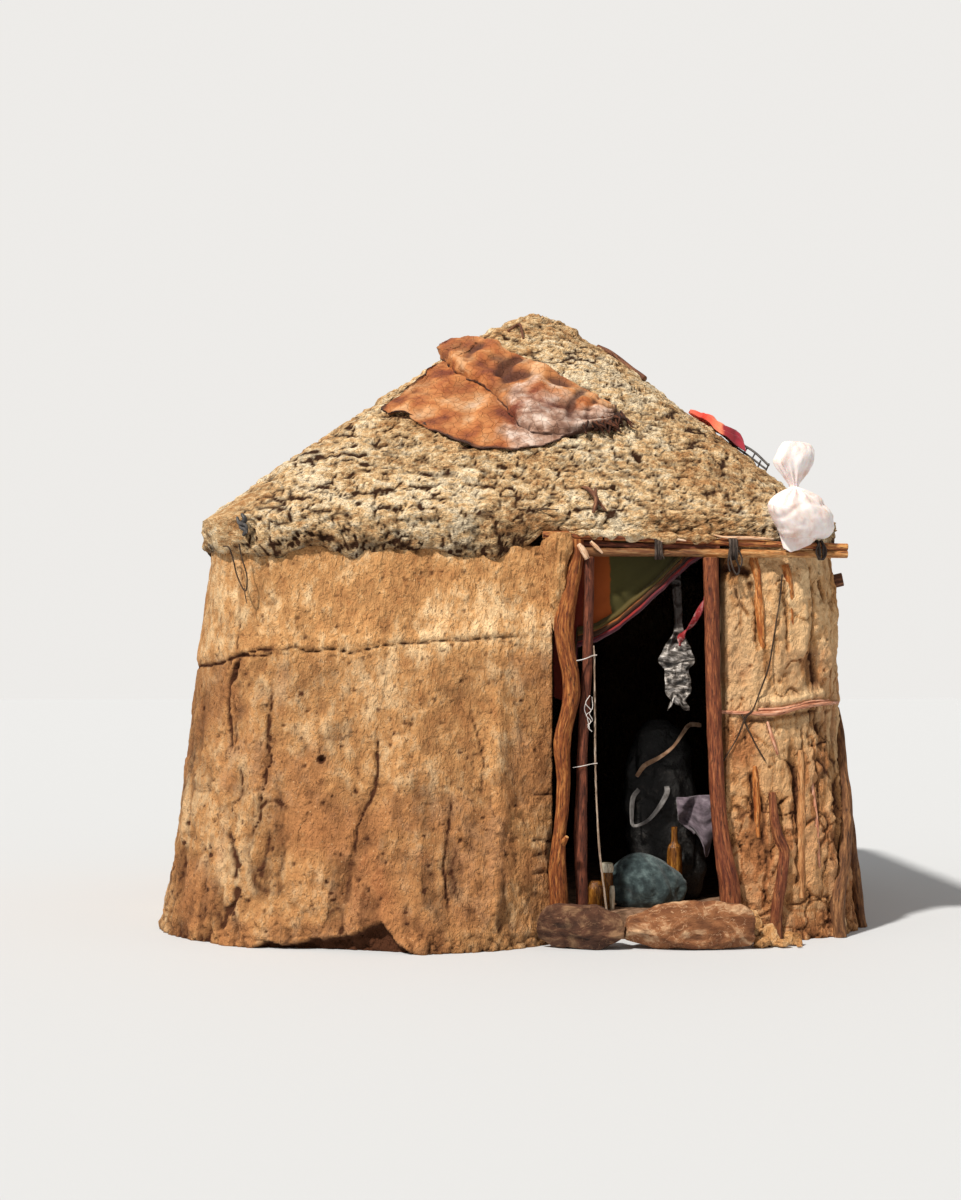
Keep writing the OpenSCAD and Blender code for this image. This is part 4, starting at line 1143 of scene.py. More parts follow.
corner = [
    [(1.5, 0.0, 0.024), (1.5, 0.08, 0.024), (1.53, 0.15, 0.023), (1.625, 0.267, 0.023),
     (1.7, 0.4, 0.022), (1.76, 0.534, 0.02), (1.83, 0.68, 0.015), (1.87, 0.78, 0.006)],
    [(1.875, 0.0, 0.02), (1.87, 0.09, 0.02), (1.88, 0.21, 0.019), (1.85, 0.3, 0.018),
     (1.87, 0.4, 0.016)],
]
limb_piece(
    "corner_poles", [on_wall(stops, 0.2) for stops in corner], 32, 0.006, 1.4, 1.3,
    bark("dark_corner_bark", "#241610 #4A2E1C #6E482C #9C7048", "#A07850"), ["leaning_poles"],
)

# %% [markdown]
# The builder packed mud between the wall's edge and the crooked post, and pressed more onto the
# lintel poles. Between those poles a dark limb fills the gap as painted shade. All three are laid as
# thick, very uneven limbs.

# %% Packed mud
beside = [
    (0.082, -1.125, 1.05, 0.006), (0.082, -1.13, 1.09, 0.013), (0.081, -1.136, 1.14, 0.02),
    (0.082, -1.136, 1.2, 0.027), (0.085, -1.132, 1.26, 0.032), (0.09, -1.12, 1.31, 0.05),
    (0.098, -1.11, 1.35, 0.056), (0.1, -1.11, 1.38, 0.048),
]
limb_piece("post_mud", [beside], 48, 0.006, 3.0, 15.2, wall_mud)
x = np.linspace(0.13, 0.64, 26)
low_z, _, up_z, _ = lintel(x)
uneven = np.array([hashed(n, 1, 5, 270) for n in range(len(x))])
girth = (0.005 + 0.012 * uneven) * smooth(0, 0.06, x - x[0]) * smooth(0, 0.06, x[-1] - x) + 0.002
pressed = np.stack([x, -1.132 - 0.4 * girth, up_z + 0.012 - 0.3 * girth, girth], -1).tolist()
limb_piece("lintel_mud", [pressed], 28, 0.005, 4.0, 16.4, roof_mud)
# A dark limb in the gap between the lintel poles: painted shade.
between = np.stack([x, -1.114 + 0 * x, (low_z + up_z) / 2, 0.01 + 0.002 * uneven], -1).tolist()
limb_piece("shade_between_lintels", [between], 20, 0.006, 2.0, 17.2, dark_bark)

# %% [markdown]
# Two flat stones make the threshold. They are layered rock, so their sides show ledges, some
# standing out and some worn back, and their tops are rounded where feet have rubbed them. A stone
# starts as a cube's six grids. Dividing each point by its own length with a high power rounds the
# cube into a soft box, flat facets are cut off it, and noise that is squeezed in height cuts the
# ledges. Six small ones, in the wall's mud, are clods that have dropped off the foot beside them.


# %% Stones
BOX_POWER = 7


def soft_box(count):
    """Points and faces of a box from -1 to 1: p / (|x|^k + |y|^k + |z|^k)^(1/k), on six grids."""
    line = np.tan(np.linspace(-1, 1, count + 1) * np.pi / 4)
    u, v = np.meshgrid(line, line)
    one = np.ones_like(u)
    sides = [(one, u, v), (-one, v, u), (v, one, u), (u, -one, v), (u, v, one), (v, u, -one)]
    p = np.concatenate([np.stack(side, -1).reshape(-1, 3) for side in sides])
    faces = sum((grid_faces(count + 1, count + 1, n * (count + 1) ** 2) for n in range(6)), [])
    p, back = np.unique(np.round(p, 7), axis=0, return_inverse=True)
    p = p / (np.abs(p) ** BOX_POWER).sum(-1, keepdims=True) ** (1 / BOX_POWER)
    return p, back.ravel()[np.array(faces)].tolist()


def faceted(p, count, depth, seed):
    """Cuts flat facets: a point with n . p past a plane's distance goes back onto the plane."""
    for k in range(count):
        n = unit(np.array([2 * hashed(k, m, 7, seed) - 1 for m in range(3)]))
        far = (p @ n).max() - depth * (0.4 + 0.6 * hashed(k, 9, 7, seed))
        p = p - np.maximum(0, p @ n - far)[:, None] * n
    return p


def stone_piece(name, box, count, seed, look, shape=None, replaced=()):
    """Layered rock that fills a box. shape moves the plain points before the ledges are cut."""
    p, faces = soft_box(count)
    low, high = np.array(box)
    middle, half = (low + high) / 2, (high - low) / 2
    way = unit(np.sign(p) * np.abs(p) ** 4)
    plain = faceted(p, 15, 0.42, seed)
    at = middle + (shape(plain) if shape else plain) * (half - 0.003)
    layer = (at[:, 2] + 0.1 * (at[:, 0] - middle[0]) + 0.012 * noise(at, 0.12, seed)) / 0.02
    share = smooth(0.25, 0.75, layer - np.floor(layer))
    step = np.floor(layer).astype(np.int64)
    depth = (1 - share) * hashed(step, 0, 0, seed) + share * hashed(step + 1, 0, 0, seed)
    sides = 1 - np.abs(way[:, 2])
    skin = 0.003 * (depth - 0.6) * sides + 0.003 * noise(at * (1, 1, 2), 0.04, seed + 1)
    skin = skin + 0.0015 * noise(at * (1, 1, 4), 0.012, seed + 2) + 0.004 * noise(at, 0.09, seed + 3)
    at = at + np.minimum(skin, 0.006)[:, None] * way
    at[:, 2] = np.maximum(at[:, 2], 0)
    piece = new_piece(name, np.clip(at, low, high), faces, {"rise": skin})
    wear(settled(piece, replaced), look)


def left_shape(p):
    """The left stone's top falls away to the front and slopes down to the right."""
    x, y, z = p.T
    top = smooth(0, 1, z)
    fall = np.stack([0.12 * top * smooth(-0.4, -1, x), 0.22 * top * smooth(-0.2, -1, y), 0 * top], -1)
    return np.stack([x, y, z - top * (0.06 * (x + 1) / 2)], -1) + fall


def right_shape(p):
    """The right stone is a wedge: low and round at its left end, highest near its right end."""
    x, y, z = p.T
    top = smooth(-0.2, 1, z)
    fall = 0.3 * smooth(-0.35, -1.0, x) + 0.14 * smooth(0.75, 1.0, x) + 0.14 * (1 - x) / 2
    y = y + 0.25 * top * smooth(-0.2, -1, y)
    return np.stack([x + 0.10 * top * smooth(-0.5, -1, x), y, z - top * fall], -1)


def rock(name, tones):
    """Four tones, darkest first, in blots that lean along the rock's bed, with thin pale fracture
    lines where a noise passes its middle value, and grit of 6 mm and under. Where the skin sinks,
    painted shade darkens it."""
    m = Paint(name, Roughness=0.85, IOR=1.5, Specular_IOR_Level=0.35)
    darkest, *others = tones.split()
    place = m.place()
    bed = m.scaled(place, (1, 1, 1.5), (0.2, 0.35, 0.3))
    blots = m.noise(bed, 0.09, 9, 0.6, 0.4)
    line = m.ranged(m.off_middle(m.noise(bed, 0.07, 4, 0.55, 1.2)), 0.009, 0.003, 0.6)
    base = m.mix(line, m.ramp(blots, (0.4, 0.52, 0.64), others), others[-1])
    # Painted shade: the darkest tone where the skin sinks, on the worn-back ledges.
    base = m.mix(m.ranged(m.stored("rise"), -0.001, -0.006, 0.8), base, darkest)
    return m.done(base, m.plus(blots, 3, m.noise(place, 0.006, 5, 0.7)), 0.006, 0.9)


# The left stone's tones are darker than the right one's: partly its own rock, partly painted shadow.
stone_piece(
    "left_stone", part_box("left_threshold_stone"), 36, 150,
    rock("shadowed_dark_ironstone", "#1E100A #402518 #5E3C2A #9A7656"), left_shape, ["left_threshold_stone"],
)
stone_piece(
    "right_stone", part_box("right_threshold_stone"), 44, 160,
    rock("layered_ironstone", "#341C12 #714428 #95623E #DCB48C"), right_shape,
    ["right_threshold_stone"],
)
CLODS = (
    ((0.722, -1.318, 0), (0.782, -1.262, 0.04)), ((0.745, -1.282, 0), (0.822, -1.222, 0.088)),
    ((0.8, -1.31, 0), (0.846, -1.268, 0.03)), ((0.835, -1.27, 0), (0.9, -1.222, 0.05)),
    ((0.7, -1.262, 0.02), (0.768, -1.214, 0.125)), ((0.862, -1.305, 0), (0.888, -1.282, 0.018)),
)
for n, box in enumerate(CLODS):
    stone_piece("fallen_clod_%d" % (n + 1), box, 12, 170 + 3 * n, wall_mud)

# %% [markdown]
# Raw hide dries to orange brown on the hair side and to a pale pinkish tan on the flesh side. It has
# a slight waxy sheen. Its grain is a fine net of pores, drawn here 2.5 mm apart, and thin cracks
# cross it. The folded hide shows its flesh side on the bulge at its lower right.


# %% Hide finish
def dried_hide(name, right, lower):
    """Orange brown, and pale flesh where right and lower, ramps along and across it, both say so."""
    m = Paint(name, Roughness=0.72, IOR=1.5, Specular_IOR_Level=0.4)
    place = m.place()
    wide, fine = m.noise(place, 0.12, 5, 0.52), m.noise(place, 0.045, 6, 0.6)
    base = m.ramp(wide, (0.34, 0.45, 0.55, 0.68), ("#74351A", "#A8602F", "#C4824C", "#E2B68A"))
    pale = m.ramp(fine, (0.36, 0.5, 0.64), ("#8A6450", "#BC9884", "#E2CCBE"))
    right, lower = m.ranged(m.stored("along"), *right), m.ranged(m.stored("across"), *lower)
    flesh = m.plus(m.math("ADD", wide, -0.5), 2.2, m.math("MULTIPLY", right, lower))
    base = m.mix(m.ranged(flesh, 0.3, 0.75), base, pale)
    # Painted shade in the folds and creases, where the skin sinks.
    base = m.mix(m.ranged(m.stored("rise"), 0.002, -0.009, 0.9), base, "#4A2210")
    # Painted shade in patches along the torn edges, where they curl.
    rim = m.ranged(m.math("MULTIPLY", m.stored("edge"), fine), 0.15, 0.5)
    pores, cracks = (
        node(m.tree, "TexVoronoi", {"Vector": place, "Scale": 1 / size}, feature="DISTANCE_TO_EDGE")
        for size in (0.0025, 0.03)
    )
    cracks = m.ranged(cracks.outputs["Distance"], 0, 0.04)
    height = m.plus(fine, 2, m.plus(pores.outputs["Distance"], 0.5, cracks))
    return m.done(m.mix(rim, base, "#3C2014"), height, 0.004, 0.8)


# %% [markdown]
# Two hides lie on the roof to dry. One is spread flat, with cracked and curling edges. The other
# is folded into a thick stiff bundle whose lower part bulges. A hide's shape comes from a net of
# places on the roof, each with its lift, and a smooth surface goes through them all. Stiff hide
# bridges the dips between clods, so it lies on the highest clods near each point.


# %% Hides
def roof_out(w, q):
    """The way out from the roof's face."""
    return -outward(roof_face, w, np.clip(q, 0.02, 0.99))


def on_roof(w, q, lift=0.0):
    """A place over the finished crust."""
    w, q = np.broadcast_arrays(np.asarray(w, float), np.asarray(q, float))
    plain = roof_face(w, q)
    skin, _ = roof_relief(w, q, plain)
    return plain + (skin + lift)[..., None] * roof_out(w, q)


def highest_near(height, steps):
    """The highest value within some steps on the grid, then the mean over the same square."""
    for way in (np.max, np.mean):
        for axis in (0, 1):
            pads = [(steps, steps) if axis == n else (0, 0) for n in (0, 1)]
            wide = np.pad(height, pads, mode="edge")
            size = height.shape[axis]
            height = way([wide.take(range(n, n + size), axis) for n in range(2 * steps + 1)], axis=0)
    return height


def laid_net(net, rows, columns, steps):
    """A smooth surface through a net of (w, q, lift) places: its plain places on the roof, the
    crust's height there, its lift and the way out."""
    net = through(np.swapaxes(through(net, columns), 0, 1), rows)
    w, q, lift = net[..., 0], np.clip(net[..., 1], 0.02, 0.99), net[..., 2]
    plain = roof_face(w, q)
    high, _ = roof_relief(w, q, plain)
    return plain, highest_near(high, steps), lift, roof_out(w, q)


def crease(p, line, wide, high):
    """A soft ridge, or with a negative height a fold, along a line of plan places."""
    d, along = to_line(p[..., :2], np.array(line, float))
    return high * np.exp(-((d / wide) ** 2)) * smooth(0, 0.15, along) * smooth(0, 0.15, 1 - along)


def hide_piece(name, replaced, net, rows, columns, thick, wrinkle, frill, creases, look, **sheet):
    """A hide on the roof, with wrinkles of noise, and a frill of sine waves at its right end."""
    s, t = parameters(columns, rows)
    plain, high, lift, way = laid_net(net, rows, columns, 3)
    border = np.minimum(np.minimum(s, 1 - s) * columns / rows, np.minimum(t, 1 - t))
    # The edge is torn: it wanders in and out by some millimetres.
    torn = smooth(0.16, 0.0, border)[..., None]
    shift = [noise(plain, 0.035, 170 + n) + 0.6 * noise(plain, 0.012, 173 + n) for n in (0, 1)]
    skin = noise(plain, 0.07, 176) + 0.5 * noise(plain, 0.03, 177) + 0.22 * noise(plain, 0.012, 178)
    skin = wrinkle * skin
    skin = skin + sum(crease(plain, *fold) for fold in creases)
    skin = skin + frill * np.sin(34 * t + 3 * noise(plain, 0.06, 180)) * smooth(0.72, 0.97, s)
    curl = 0.008 * smooth(0.05, 0.0, border) * (0.5 + noise(plain, 0.06, 179))
    top = plain + (high + lift + skin + curl + 0.004)[..., None] * way
    top[..., :2] += 0.01 * torn * np.stack(shift, -1)
    stored = {"edge": smooth(0.06, 0.0, border), "rise": skin, "along": s, "across": t}
    piece = settled(crust(name, top, top - thick * way, 3, stored), [replaced])
    wear(piece, look)


flat_low = [
    (-0.42, 0.595), (-0.21, 0.62), (-0.03, 0.62), (0.08, 0.645), (0.12, 0.685), (0.17, 0.705),
    (0.25, 0.735), (0.34, 0.765), (0.39, 0.765), (0.45, 0.775), (0.49, 0.765), (0.56, 0.745),
    (0.61, 0.715), (0.66, 0.7),
]
flat_up = [
    (-0.45, 0.57), (-0.45, 0.53), (-0.46, 0.47), (-0.52, 0.4), (-0.6, 0.34), (-0.33, 0.34),
    (0.01, 0.36), (0.15, 0.39), (0.26, 0.43), (0.35, 0.48), (0.44, 0.55), (0.53, 0.59),
    (0.6, 0.61), (0.65, 0.63),
]
flat_net = [
    [(*a, 0.0), (*((2 * np.array(a) + b) / 3), 0.002), (*((a + 2 * np.array(b)) / 3), 0.002), (*b, 0.0)]
    for a, b in zip(flat_low, flat_up)
]
flat_creases = (
    (((-0.2, -0.45), (-0.3, -0.6), (-0.36, -0.7)), 0.012, 0.006),
    (((-0.1, -0.6), (-0.16, -0.75), (-0.17, -0.85)), 0.015, 0.006),
    (((-0.4, -0.5), (-0.34, -0.58), (-0.25, -0.62)), 0.01, -0.005),
    (((0.0, -0.8), (0.06, -0.76), (0.13, -0.75)), 0.012, 0.006),
)
hide_piece(
    "flat_hide_skin", "flat_hide", flat_net, 76, 121, 0.004, 0.0028, 0.0, flat_creases,
    dried_hide("dried_hide_spread", (0.55, 0.8), (1.1, 0.5)),
    flat=(0.66, 0.34), held="laid", rests_on=["roof_front"],
)
# Each row runs up the folded hide: lower edge, middle, upper edge as (w, q), and the bulge's height.
folds = [
    ((-1.24, 0.285), (-1.22, 0.27), (-1.2, 0.255), 0.042),
    ((-0.1, 0.41), (-0.41, 0.33), (-1.16, 0.24), 0.05),
    ((0.11, 0.46), (0.03, 0.37), (-1.05, 0.225), 0.046),
    ((0.22, 0.485), (0.2, 0.41), (0.03, 0.265), 0.04),
    ((0.31, 0.535), (0.3, 0.44), (0.25, 0.315), 0.036),
    ((0.38, 0.595), (0.39, 0.49), (0.4, 0.36), 0.036),
    ((0.45, 0.69), (0.48, 0.56), (0.54, 0.41), 0.044),
    ((0.53, 0.715), (0.57, 0.6), (0.66, 0.47), 0.042),
    ((0.62, 0.715), (0.65, 0.625), (0.76, 0.53), 0.034),
    ((0.72, 0.69), (0.74, 0.635), (0.81, 0.575), 0.024),
    ((0.78, 0.665), (0.81, 0.63), (0.85, 0.6), 0.012),
]
fold_net = [
    [(*a, 0.004), (*(0.85 * np.array(a) + 0.15 * np.array(b)), 0.8 * h),
     (*(0.5 * np.array(a) + 0.5 * np.array(b)), h), (*b, 0.9 * h),
     (*(0.5 * np.array(b) + 0.5 * np.array(c)), 0.85 * h),
     (*(0.15 * np.array(b) + 0.85 * np.array(c)), 0.7 * h), (*c, 0.003)]
    for a, b, c, h in folds
]
fold_creases = (
    (((0.02, -0.44), (-0.04, -0.5), (-0.08, -0.57)), 0.022, -0.024),
    (((-0.08, -0.6), (0.0, -0.56), (0.1, -0.58), (0.2, -0.62)), 0.018, -0.012),
    (((0.11, -0.5), (0.06, -0.6), (0.08, -0.7)), 0.03, 0.012),
    (((0.24, -0.6), (0.18, -0.68), (0.15, -0.78)), 0.012, -0.012),
    (((0.3, -0.62), (0.24, -0.7), (0.22, -0.78)), 0.01, -0.01),
    (((-0.1, -0.34), (-0.16, -0.4), (-0.19, -0.47)), 0.02, -0.01),
)
hide_piece(
    "folded_hide_skin", "folded_hide", fold_net, 91, 142, 0.014, 0.0065, 0.009, fold_creases,
    dried_hide("dried_hide_folded", (0.45, 0.62), (0.72, 0.35)),
    flat=(0.68, 0.4), held="folded", rests_on=["flat_hide_skin", "roof_front"],
)

# %% [markdown]
# A cloth hangs in the doorway from the wall plate. It is a blanket with an orange border, and its
# lower edge is rolled up and pulled to the right, so that the folds run along that edge. Each
# point's distance to the edge gives the rolls, and it goes to the material too, because the woven
# stripes follow the edge. The cotton is plain-woven and quite matt. Its threads would be half a
# millimetre apart, which is too fine to show, so they are drawn 2 mm apart.


# %% Cloth
def cloth_piece(name, slot, surface, thick, stored, look, replaced=(), **sheet):
    """A closed sheet: half its thickness out along the grid's normals and half in."""
    way = unit(np.cross(np.gradient(surface, axis=1), np.gradient(surface, axis=0)))
    piece = crust(name, surface + thick / 2 * way, surface - thick / 2 * way, 1, stored)
    settled(piece, replaced)
    wear(piece, look)


def cotton(name, tones, thread=0.002):
    """Plain cotton between three tones over folds, with its weave as bump."""
    m = Paint(name, Roughness=0.9, IOR=1.45, Specular_IOR_Level=0.2, Sheen_Weight=0.2)
    place = m.stored("weave", "Vector")
    base = m.ramp(m.noise(place, 0.03, 5, 0.65), (0.3, 0.5, 0.74), tones.split())
    return m.done(base, m.weave(place, thread), 0.0008, 0.6)


def striped_blanket():
    """Upright bands of red, orange and olive, and seven stripes that follow the lower edge."""
    m = Paint(
        "striped_cotton_blanket", Roughness=0.95, IOR=1.45, Specular_IOR_Level=0.2, Sheen_Weight=0.15
    )
    place = m.stored("weave", "Vector")
    soft = m.noise(place, 0.05, 4)
    across = m.ranged(m.plus(soft, 0.02, m.axis(place, "X")), 0, 0.51)
    # The bands and stripes are their dyes darkened with painted shade, for the doorway under the eave.
    bands = m.ramp(
        across, (0.0, 0.2, 0.24, 0.395, 0.405, 1.0),
        ("#5C1D14", "#6E2416", "#96451D", "#9C4B1C", "#4A4421", "#39341B"),
    )
    edge = m.ranged(m.plus(soft, 0.012, m.axis(place, "Z")), 0.006, 0.06)
    stripes = m.ramp(
        edge, (0.0, 0.16, 0.22, 0.32, 0.52, 0.58, 0.66, 0.9),
        ("#6B3A44", "#5B2A34", "#9C2F2B", "#3C241B", "#4B2F1D", "#A05A28", "#5B4A26", "#51461F"),
    )
    base = m.mix(m.math("LESS_THAN", edge, 0.97), bands, stripes)
    return m.done(base, m.weave(place, 0.002), 0.0008, 0.6)


(CURTAIN_X, near, _), (_, far, CURTAIN_TOP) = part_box("door_curtain")
columns = [np.linspace(0, 0.125, 12), np.linspace(0.13, 0.155, 6), np.linspace(0.165, 1, 62)]
s, t = np.meshgrid(np.concatenate(columns), np.linspace(1, 0, 74))
drop = 0.562 * np.interp(
    s, (0, 0.012, 0.13, 0.155, 0.294, 0.44, 0.58, 0.74, 0.9, 1),
    (0.95, 0.964, 1, 0.655, 0.62, 0.54, 0.43, 0.3, 0.157, 0.11),
)
to_edge = (1 - t) * drop * 0.8
rolled = smooth(0.055, 0.04, to_edge) * smooth(0.13, 0.17, s)
p = np.stack([0.51 * s, 0 * s, t * drop], -1)
hang = 0.006 * noise(p * (1, 1, 0.3), 0.09, 190) + 0.003 * noise(p * (1, 1, 0.4), 0.035, 191)
wave = np.cos(to_edge * 2 * np.pi / 0.017 + 1.5 * noise(p, 0.12, 192))
rolls = -0.016 * rolled + 0.006 * rolled * wave
strain = 0.003 * np.sin((to_edge - 0.05) * 90 + 3 * s)
strain = strain * smooth(0.16, 0.06, to_edge) * smooth(0.13, 0.2, s)
surface = np.stack([
    CURTAIN_X + 0.51 * s + 0.004 * noise(p, 0.05, 193) * smooth(0, 0.1, t),
    (near + far) / 2 + hang * smooth(0, 0.15, t) + rolls + strain,
    CURTAIN_TOP - t * drop,
], -1)
place = np.stack([0.51 * s, t * drop, np.where(s < 0.14, 0.2, to_edge)], -1)
cloth_piece(
    "curtain", "curtain_cloth", surface, 0.004, {"weave": place}, striped_blanket(), ["door_curtain"],
    flat=(0.51, 0.45), held="hung", rests_on=["front_plate_pole"], area=0.2,
)

# %% [markdown]
# Behind it hangs a torn strip of silvered plastic, knotted to a twisted red rag that is tied to the
# doorway's right post. Both are narrow grids: the strip is crumpled and ragged, the rag turns about
# its own line. The plastic is smoother than cloth and catches the light.


# %% Rag and twist
def silvered_plastic():
    """Dark and pale blots on silver, and painted shade over the part above the knot."""
    m = Paint("silvered_plastic", Roughness=0.45, IOR=1.5, Metallic=0.25)
    place = m.stored("weave", "Vector")
    blots = m.noise(m.scaled(place, (1, 2.2, 1)), 0.04, 7, 0.7, 0.5)
    base = m.ramp(blots, (0.42, 0.5, 0.58, 0.7), ("#171412", "#5E5751", "#A9A29C", "#F0ECE8"))
    # Painted shade over the part above the knot.
    base = m.mix(m.ranged(m.axis(place, "Y"), 0.35, 0.3), base, "#2B211C")
    return m.done(base, blots, 0.004, 0.8)


rag_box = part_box("hanging_rag")
rag_x, rag_y = (rag_box[0][0] + rag_box[1][0]) / 2, (rag_box[0][1] + rag_box[1][1]) / 2
s, t = np.meshgrid(np.linspace(-1, 1, 36), np.linspace(0.593, 0, 150))
wide = np.interp(
    t, (0, 0.05, 0.29, 0.33, 0.36, 0.4, 0.5, 0.593),
    (0.045, 0.02, 0.012, 0.02, 0.042, 0.05, 0.042, 0.03),
)
p = np.stack([s * wide, 0 * s, t], -1)
ragged = 1 + 0.35 * noise(p * (0.1, 1, 1), 0.035, 200) * smooth(0.3, 0.4, t)
lean = np.interp(t, (0, 0.3, 0.42, 0.593), (0, 0.02, 0.012, 0.02))
crumple = 0.02 * np.abs(noise(p, 0.05, 201)) + 0.012 * np.abs(noise(p, 0.022, 202)) - 0.008
hem = 0.03 * noise(p * (1, 1, 0), 0.018, 203) * smooth(0.5, 0.593, t)
surface = np.stack([
    rag_x + lean + s * wide * ragged,
    rag_y - 0.004 + crumple,
    rag_box[1][2] - t + hem,
], -1)
cloth_piece(
    "silver_rag", "rag_cloth", surface, 0.003, {"weave": np.stack([s * wide, t, 0 * t], -1)},
    silvered_plastic(), ["hanging_rag"], flat=(0.06, 0.593), held="hung", rests_on=["front_plate_pole"],
)


def ribbon_piece(name, slot, stops, wide, turns, look, **sheet):
    """A narrow band: a smooth line, plus s * wide along a direction that turns about the line."""
    line = through(stops, 60)
    s, t = np.meshgrid(np.linspace(-1, 1, 9), np.linspace(0, 1, len(line)))
    ahead = unit(np.gradient(line, axis=0))
    side = unit(np.cross(ahead, (0.02, 1, 0.03)))
    up = np.cross(side, ahead)
    turn = np.interp(t, np.linspace(0, 1, len(turns)), turns)[..., None]
    way = np.cos(turn) * side[:, None] + np.sin(turn) * up[:, None]
    half = wide * (1 + 0.2 * np.sin(9 * t))
    surface = line[:, None] + (s * half)[..., None] * way
    place = np.stack([s * half, t * sheet["flat"][1], 0 * t], -1)
    cloth_piece(name, slot, surface, 0.003, {"weave": place}, look, **sheet)


ribbon_piece(
    "twisted_rag", "red_cotton",
    [(0.598, -1.128, 1.175), (0.585, -1.09, 1.13), (0.56, -1.03, 1.07), (0.532, -1.004, 1.035),
     (0.523, -1.0, 1.0)],
    0.011, (0.6, 3.6, 8.1), cotton("red_rag_cotton", "#6E1519 #A8242B #C9B7B0"),
    flat=(0.026, 0.23), held="stretched", rests_on=["right_post", "silver_rag"],
)

# %% [markdown]
# On the roof's right shoulder lies a crumpled cloth, coral at one end and dark red at the other. Its
# grid is laid over the crust, gathered into ridges that run along it, and thickest in the middle.


# %% Red cloth
def coral_and_crimson():
    """Seven tones along the cloth, with ragged borders, and its weave as bump."""
    m = Paint("coral_and_crimson_cotton", Roughness=0.9, IOR=1.45, Sheen_Weight=0.2)
    place = m.stored("weave", "Vector")
    along = m.plus(m.noise(place, 0.03, 4), 0.16, m.stored("along"))
    base = m.ramp(
        along, (0.1, 0.3, 0.42, 0.6, 0.68, 0.85, 1.0),
        ("#F4735B", "#E23A2C", "#F0664C", "#F58B66", "#8E1B26", "#6B0F1E", "#A5283A"),
    )
    return m.done(base, m.weave(place, 0.002), 0.0008, 0.5)


net = [
    [(1.9, 0.585, 0.004), (1.88, 0.575, 0.012), (1.97, 0.57, 0.004)],
    [(1.88, 0.61, 0.004), (1.89, 0.6, 0.022), (2.0, 0.59, 0.004)],
    [(1.84, 0.64, 0.006), (1.87, 0.63, 0.026), (2.02, 0.62, 0.005)],
    [(1.81, 0.67, 0.006), (1.86, 0.655, 0.02), (2.03, 0.645, 0.005)],
    [(1.79, 0.7, 0.008), (1.85, 0.68, 0.036), (2.05, 0.67, 0.006)],
    [(1.78, 0.73, 0.008), (1.85, 0.7, 0.042), (2.07, 0.69, 0.008)],
    [(1.8, 0.75, 0.006), (1.86, 0.725, 0.026), (2.06, 0.715, 0.004)],
]
s, t = parameters(80, 50)
plain, high, lift, way = laid_net(net, 50, 80, 4)
ridge = 0.006 * np.sin(2 * np.pi * (3.4 * t + 0.5 * noise(plain, 0.06, 210)))
ridge = ridge + 0.004 * noise(plain, 0.02, 211)
surface = plain + (high + lift + ridge * np.minimum(1, lift / 0.015) + 0.004)[..., None] * way
place = np.stack([0.24 * s, 0.2 * t, 0 * s], -1)
cloth_piece(
    "red_cloth_skin", "red_cotton", surface, 0.004, {"weave": place, "along": s}, coral_and_crimson(),
    ["red_cloth"], flat=(0.22, 0.2), held="laid", rests_on=["roof_front"],
)

# %% [markdown]
# A white plastic sack hangs over the lintel poles at the right corner, tied at the neck so that its
# mouth spreads above the knot. It is lofted: a table gives its width, depth and sideways shift at
# each height, and pleats fan out from the tie on both sides.


# %% Bags
def loft_piece(name, replaced, centre, turn, levels, rows, around, relief, look, dip=0.0):
    """Rings c + shift + r (W cos a, D sin a) turned about the vertical, from (height, W, D, shift)
    levels in metres, with relief(a, z, p) as a factor on r. Both ends close in a flat ring."""
    table = through(levels, rows)
    z, wide, deep, shift = (table[:, n, None] for n in range(4))
    a = (np.arange(around) * 2 * np.pi / around)[None]
    plain = np.stack(np.broadcast_arrays(wide * np.cos(a), deep * np.sin(a), z), -1)
    r = relief(a, z, plain)
    plan = turned(shift + plain[..., 0] * r, plain[..., 1] * r, turn)
    rings = np.array(centre) + raised(plan, plain[..., 2])
    middle = rings.mean(axis=1, keepdims=True)
    first = middle[:1] + 0.5 * (rings[:1] - middle[:1])
    last = middle[-1:] + 0.5 * (rings[-1:] - middle[-1:]) - (0, 0, dip)
    rings = np.concatenate([first, rings, last])
    place = np.concatenate([plain[:1], plain, plain[-1:]])
    piece = new_piece(name, rings, tube_faces(len(rings), around), {"weave": place.reshape(-1, 3)})
    settled(piece, [replaced])
    wear(piece, look)


def white_polythene():
    """White plastic, which lets a little light through, with pinkish patches and upright creases."""
    m = Paint(
        "white_polythene_sack", Roughness=0.42, IOR=1.5, Subsurface_Weight=0.15, Subsurface_Scale=0.01
    )
    place = m.stored("weave", "Vector")
    base = m.ramp(m.noise(place, 0.05, 5, 0.6), (0.3, 0.45, 0.6), ("#D9B7A6", "#EDDBD5", "#F5ECEA"))
    return m.done(base, m.noise(m.scaled(place, (1, 1, 0.35)), 0.012, 4), 0.003, 0.8)


sack_centre = (*outline(reach(np.array(1.25)) + 0.0723, np.array(1.25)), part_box("tied_sack")[0][2])
sack_levels = [
    (0.0, 0.076, 0.04, 0.014), (0.012, 0.094, 0.054, 0.016), (0.034, 0.106, 0.064, 0.014),
    (0.062, 0.114, 0.07, 0.004), (0.09, 0.119, 0.07, -0.006), (0.11, 0.114, 0.065, -0.014),
    (0.128, 0.098, 0.056, -0.018), (0.144, 0.074, 0.045, -0.02), (0.16, 0.04, 0.03, -0.026),
    (0.17, 0.017, 0.015, -0.03), (0.18, 0.016, 0.014, -0.032), (0.198, 0.03, 0.02, -0.033),
    (0.226, 0.054, 0.028, -0.034), (0.252, 0.07, 0.034, -0.034), (0.276, 0.07, 0.034, -0.028),
    (0.3, 0.066, 0.03, -0.022), (0.318, 0.05, 0.022, -0.024), (0.325, 0.034, 0.012, -0.03),
]


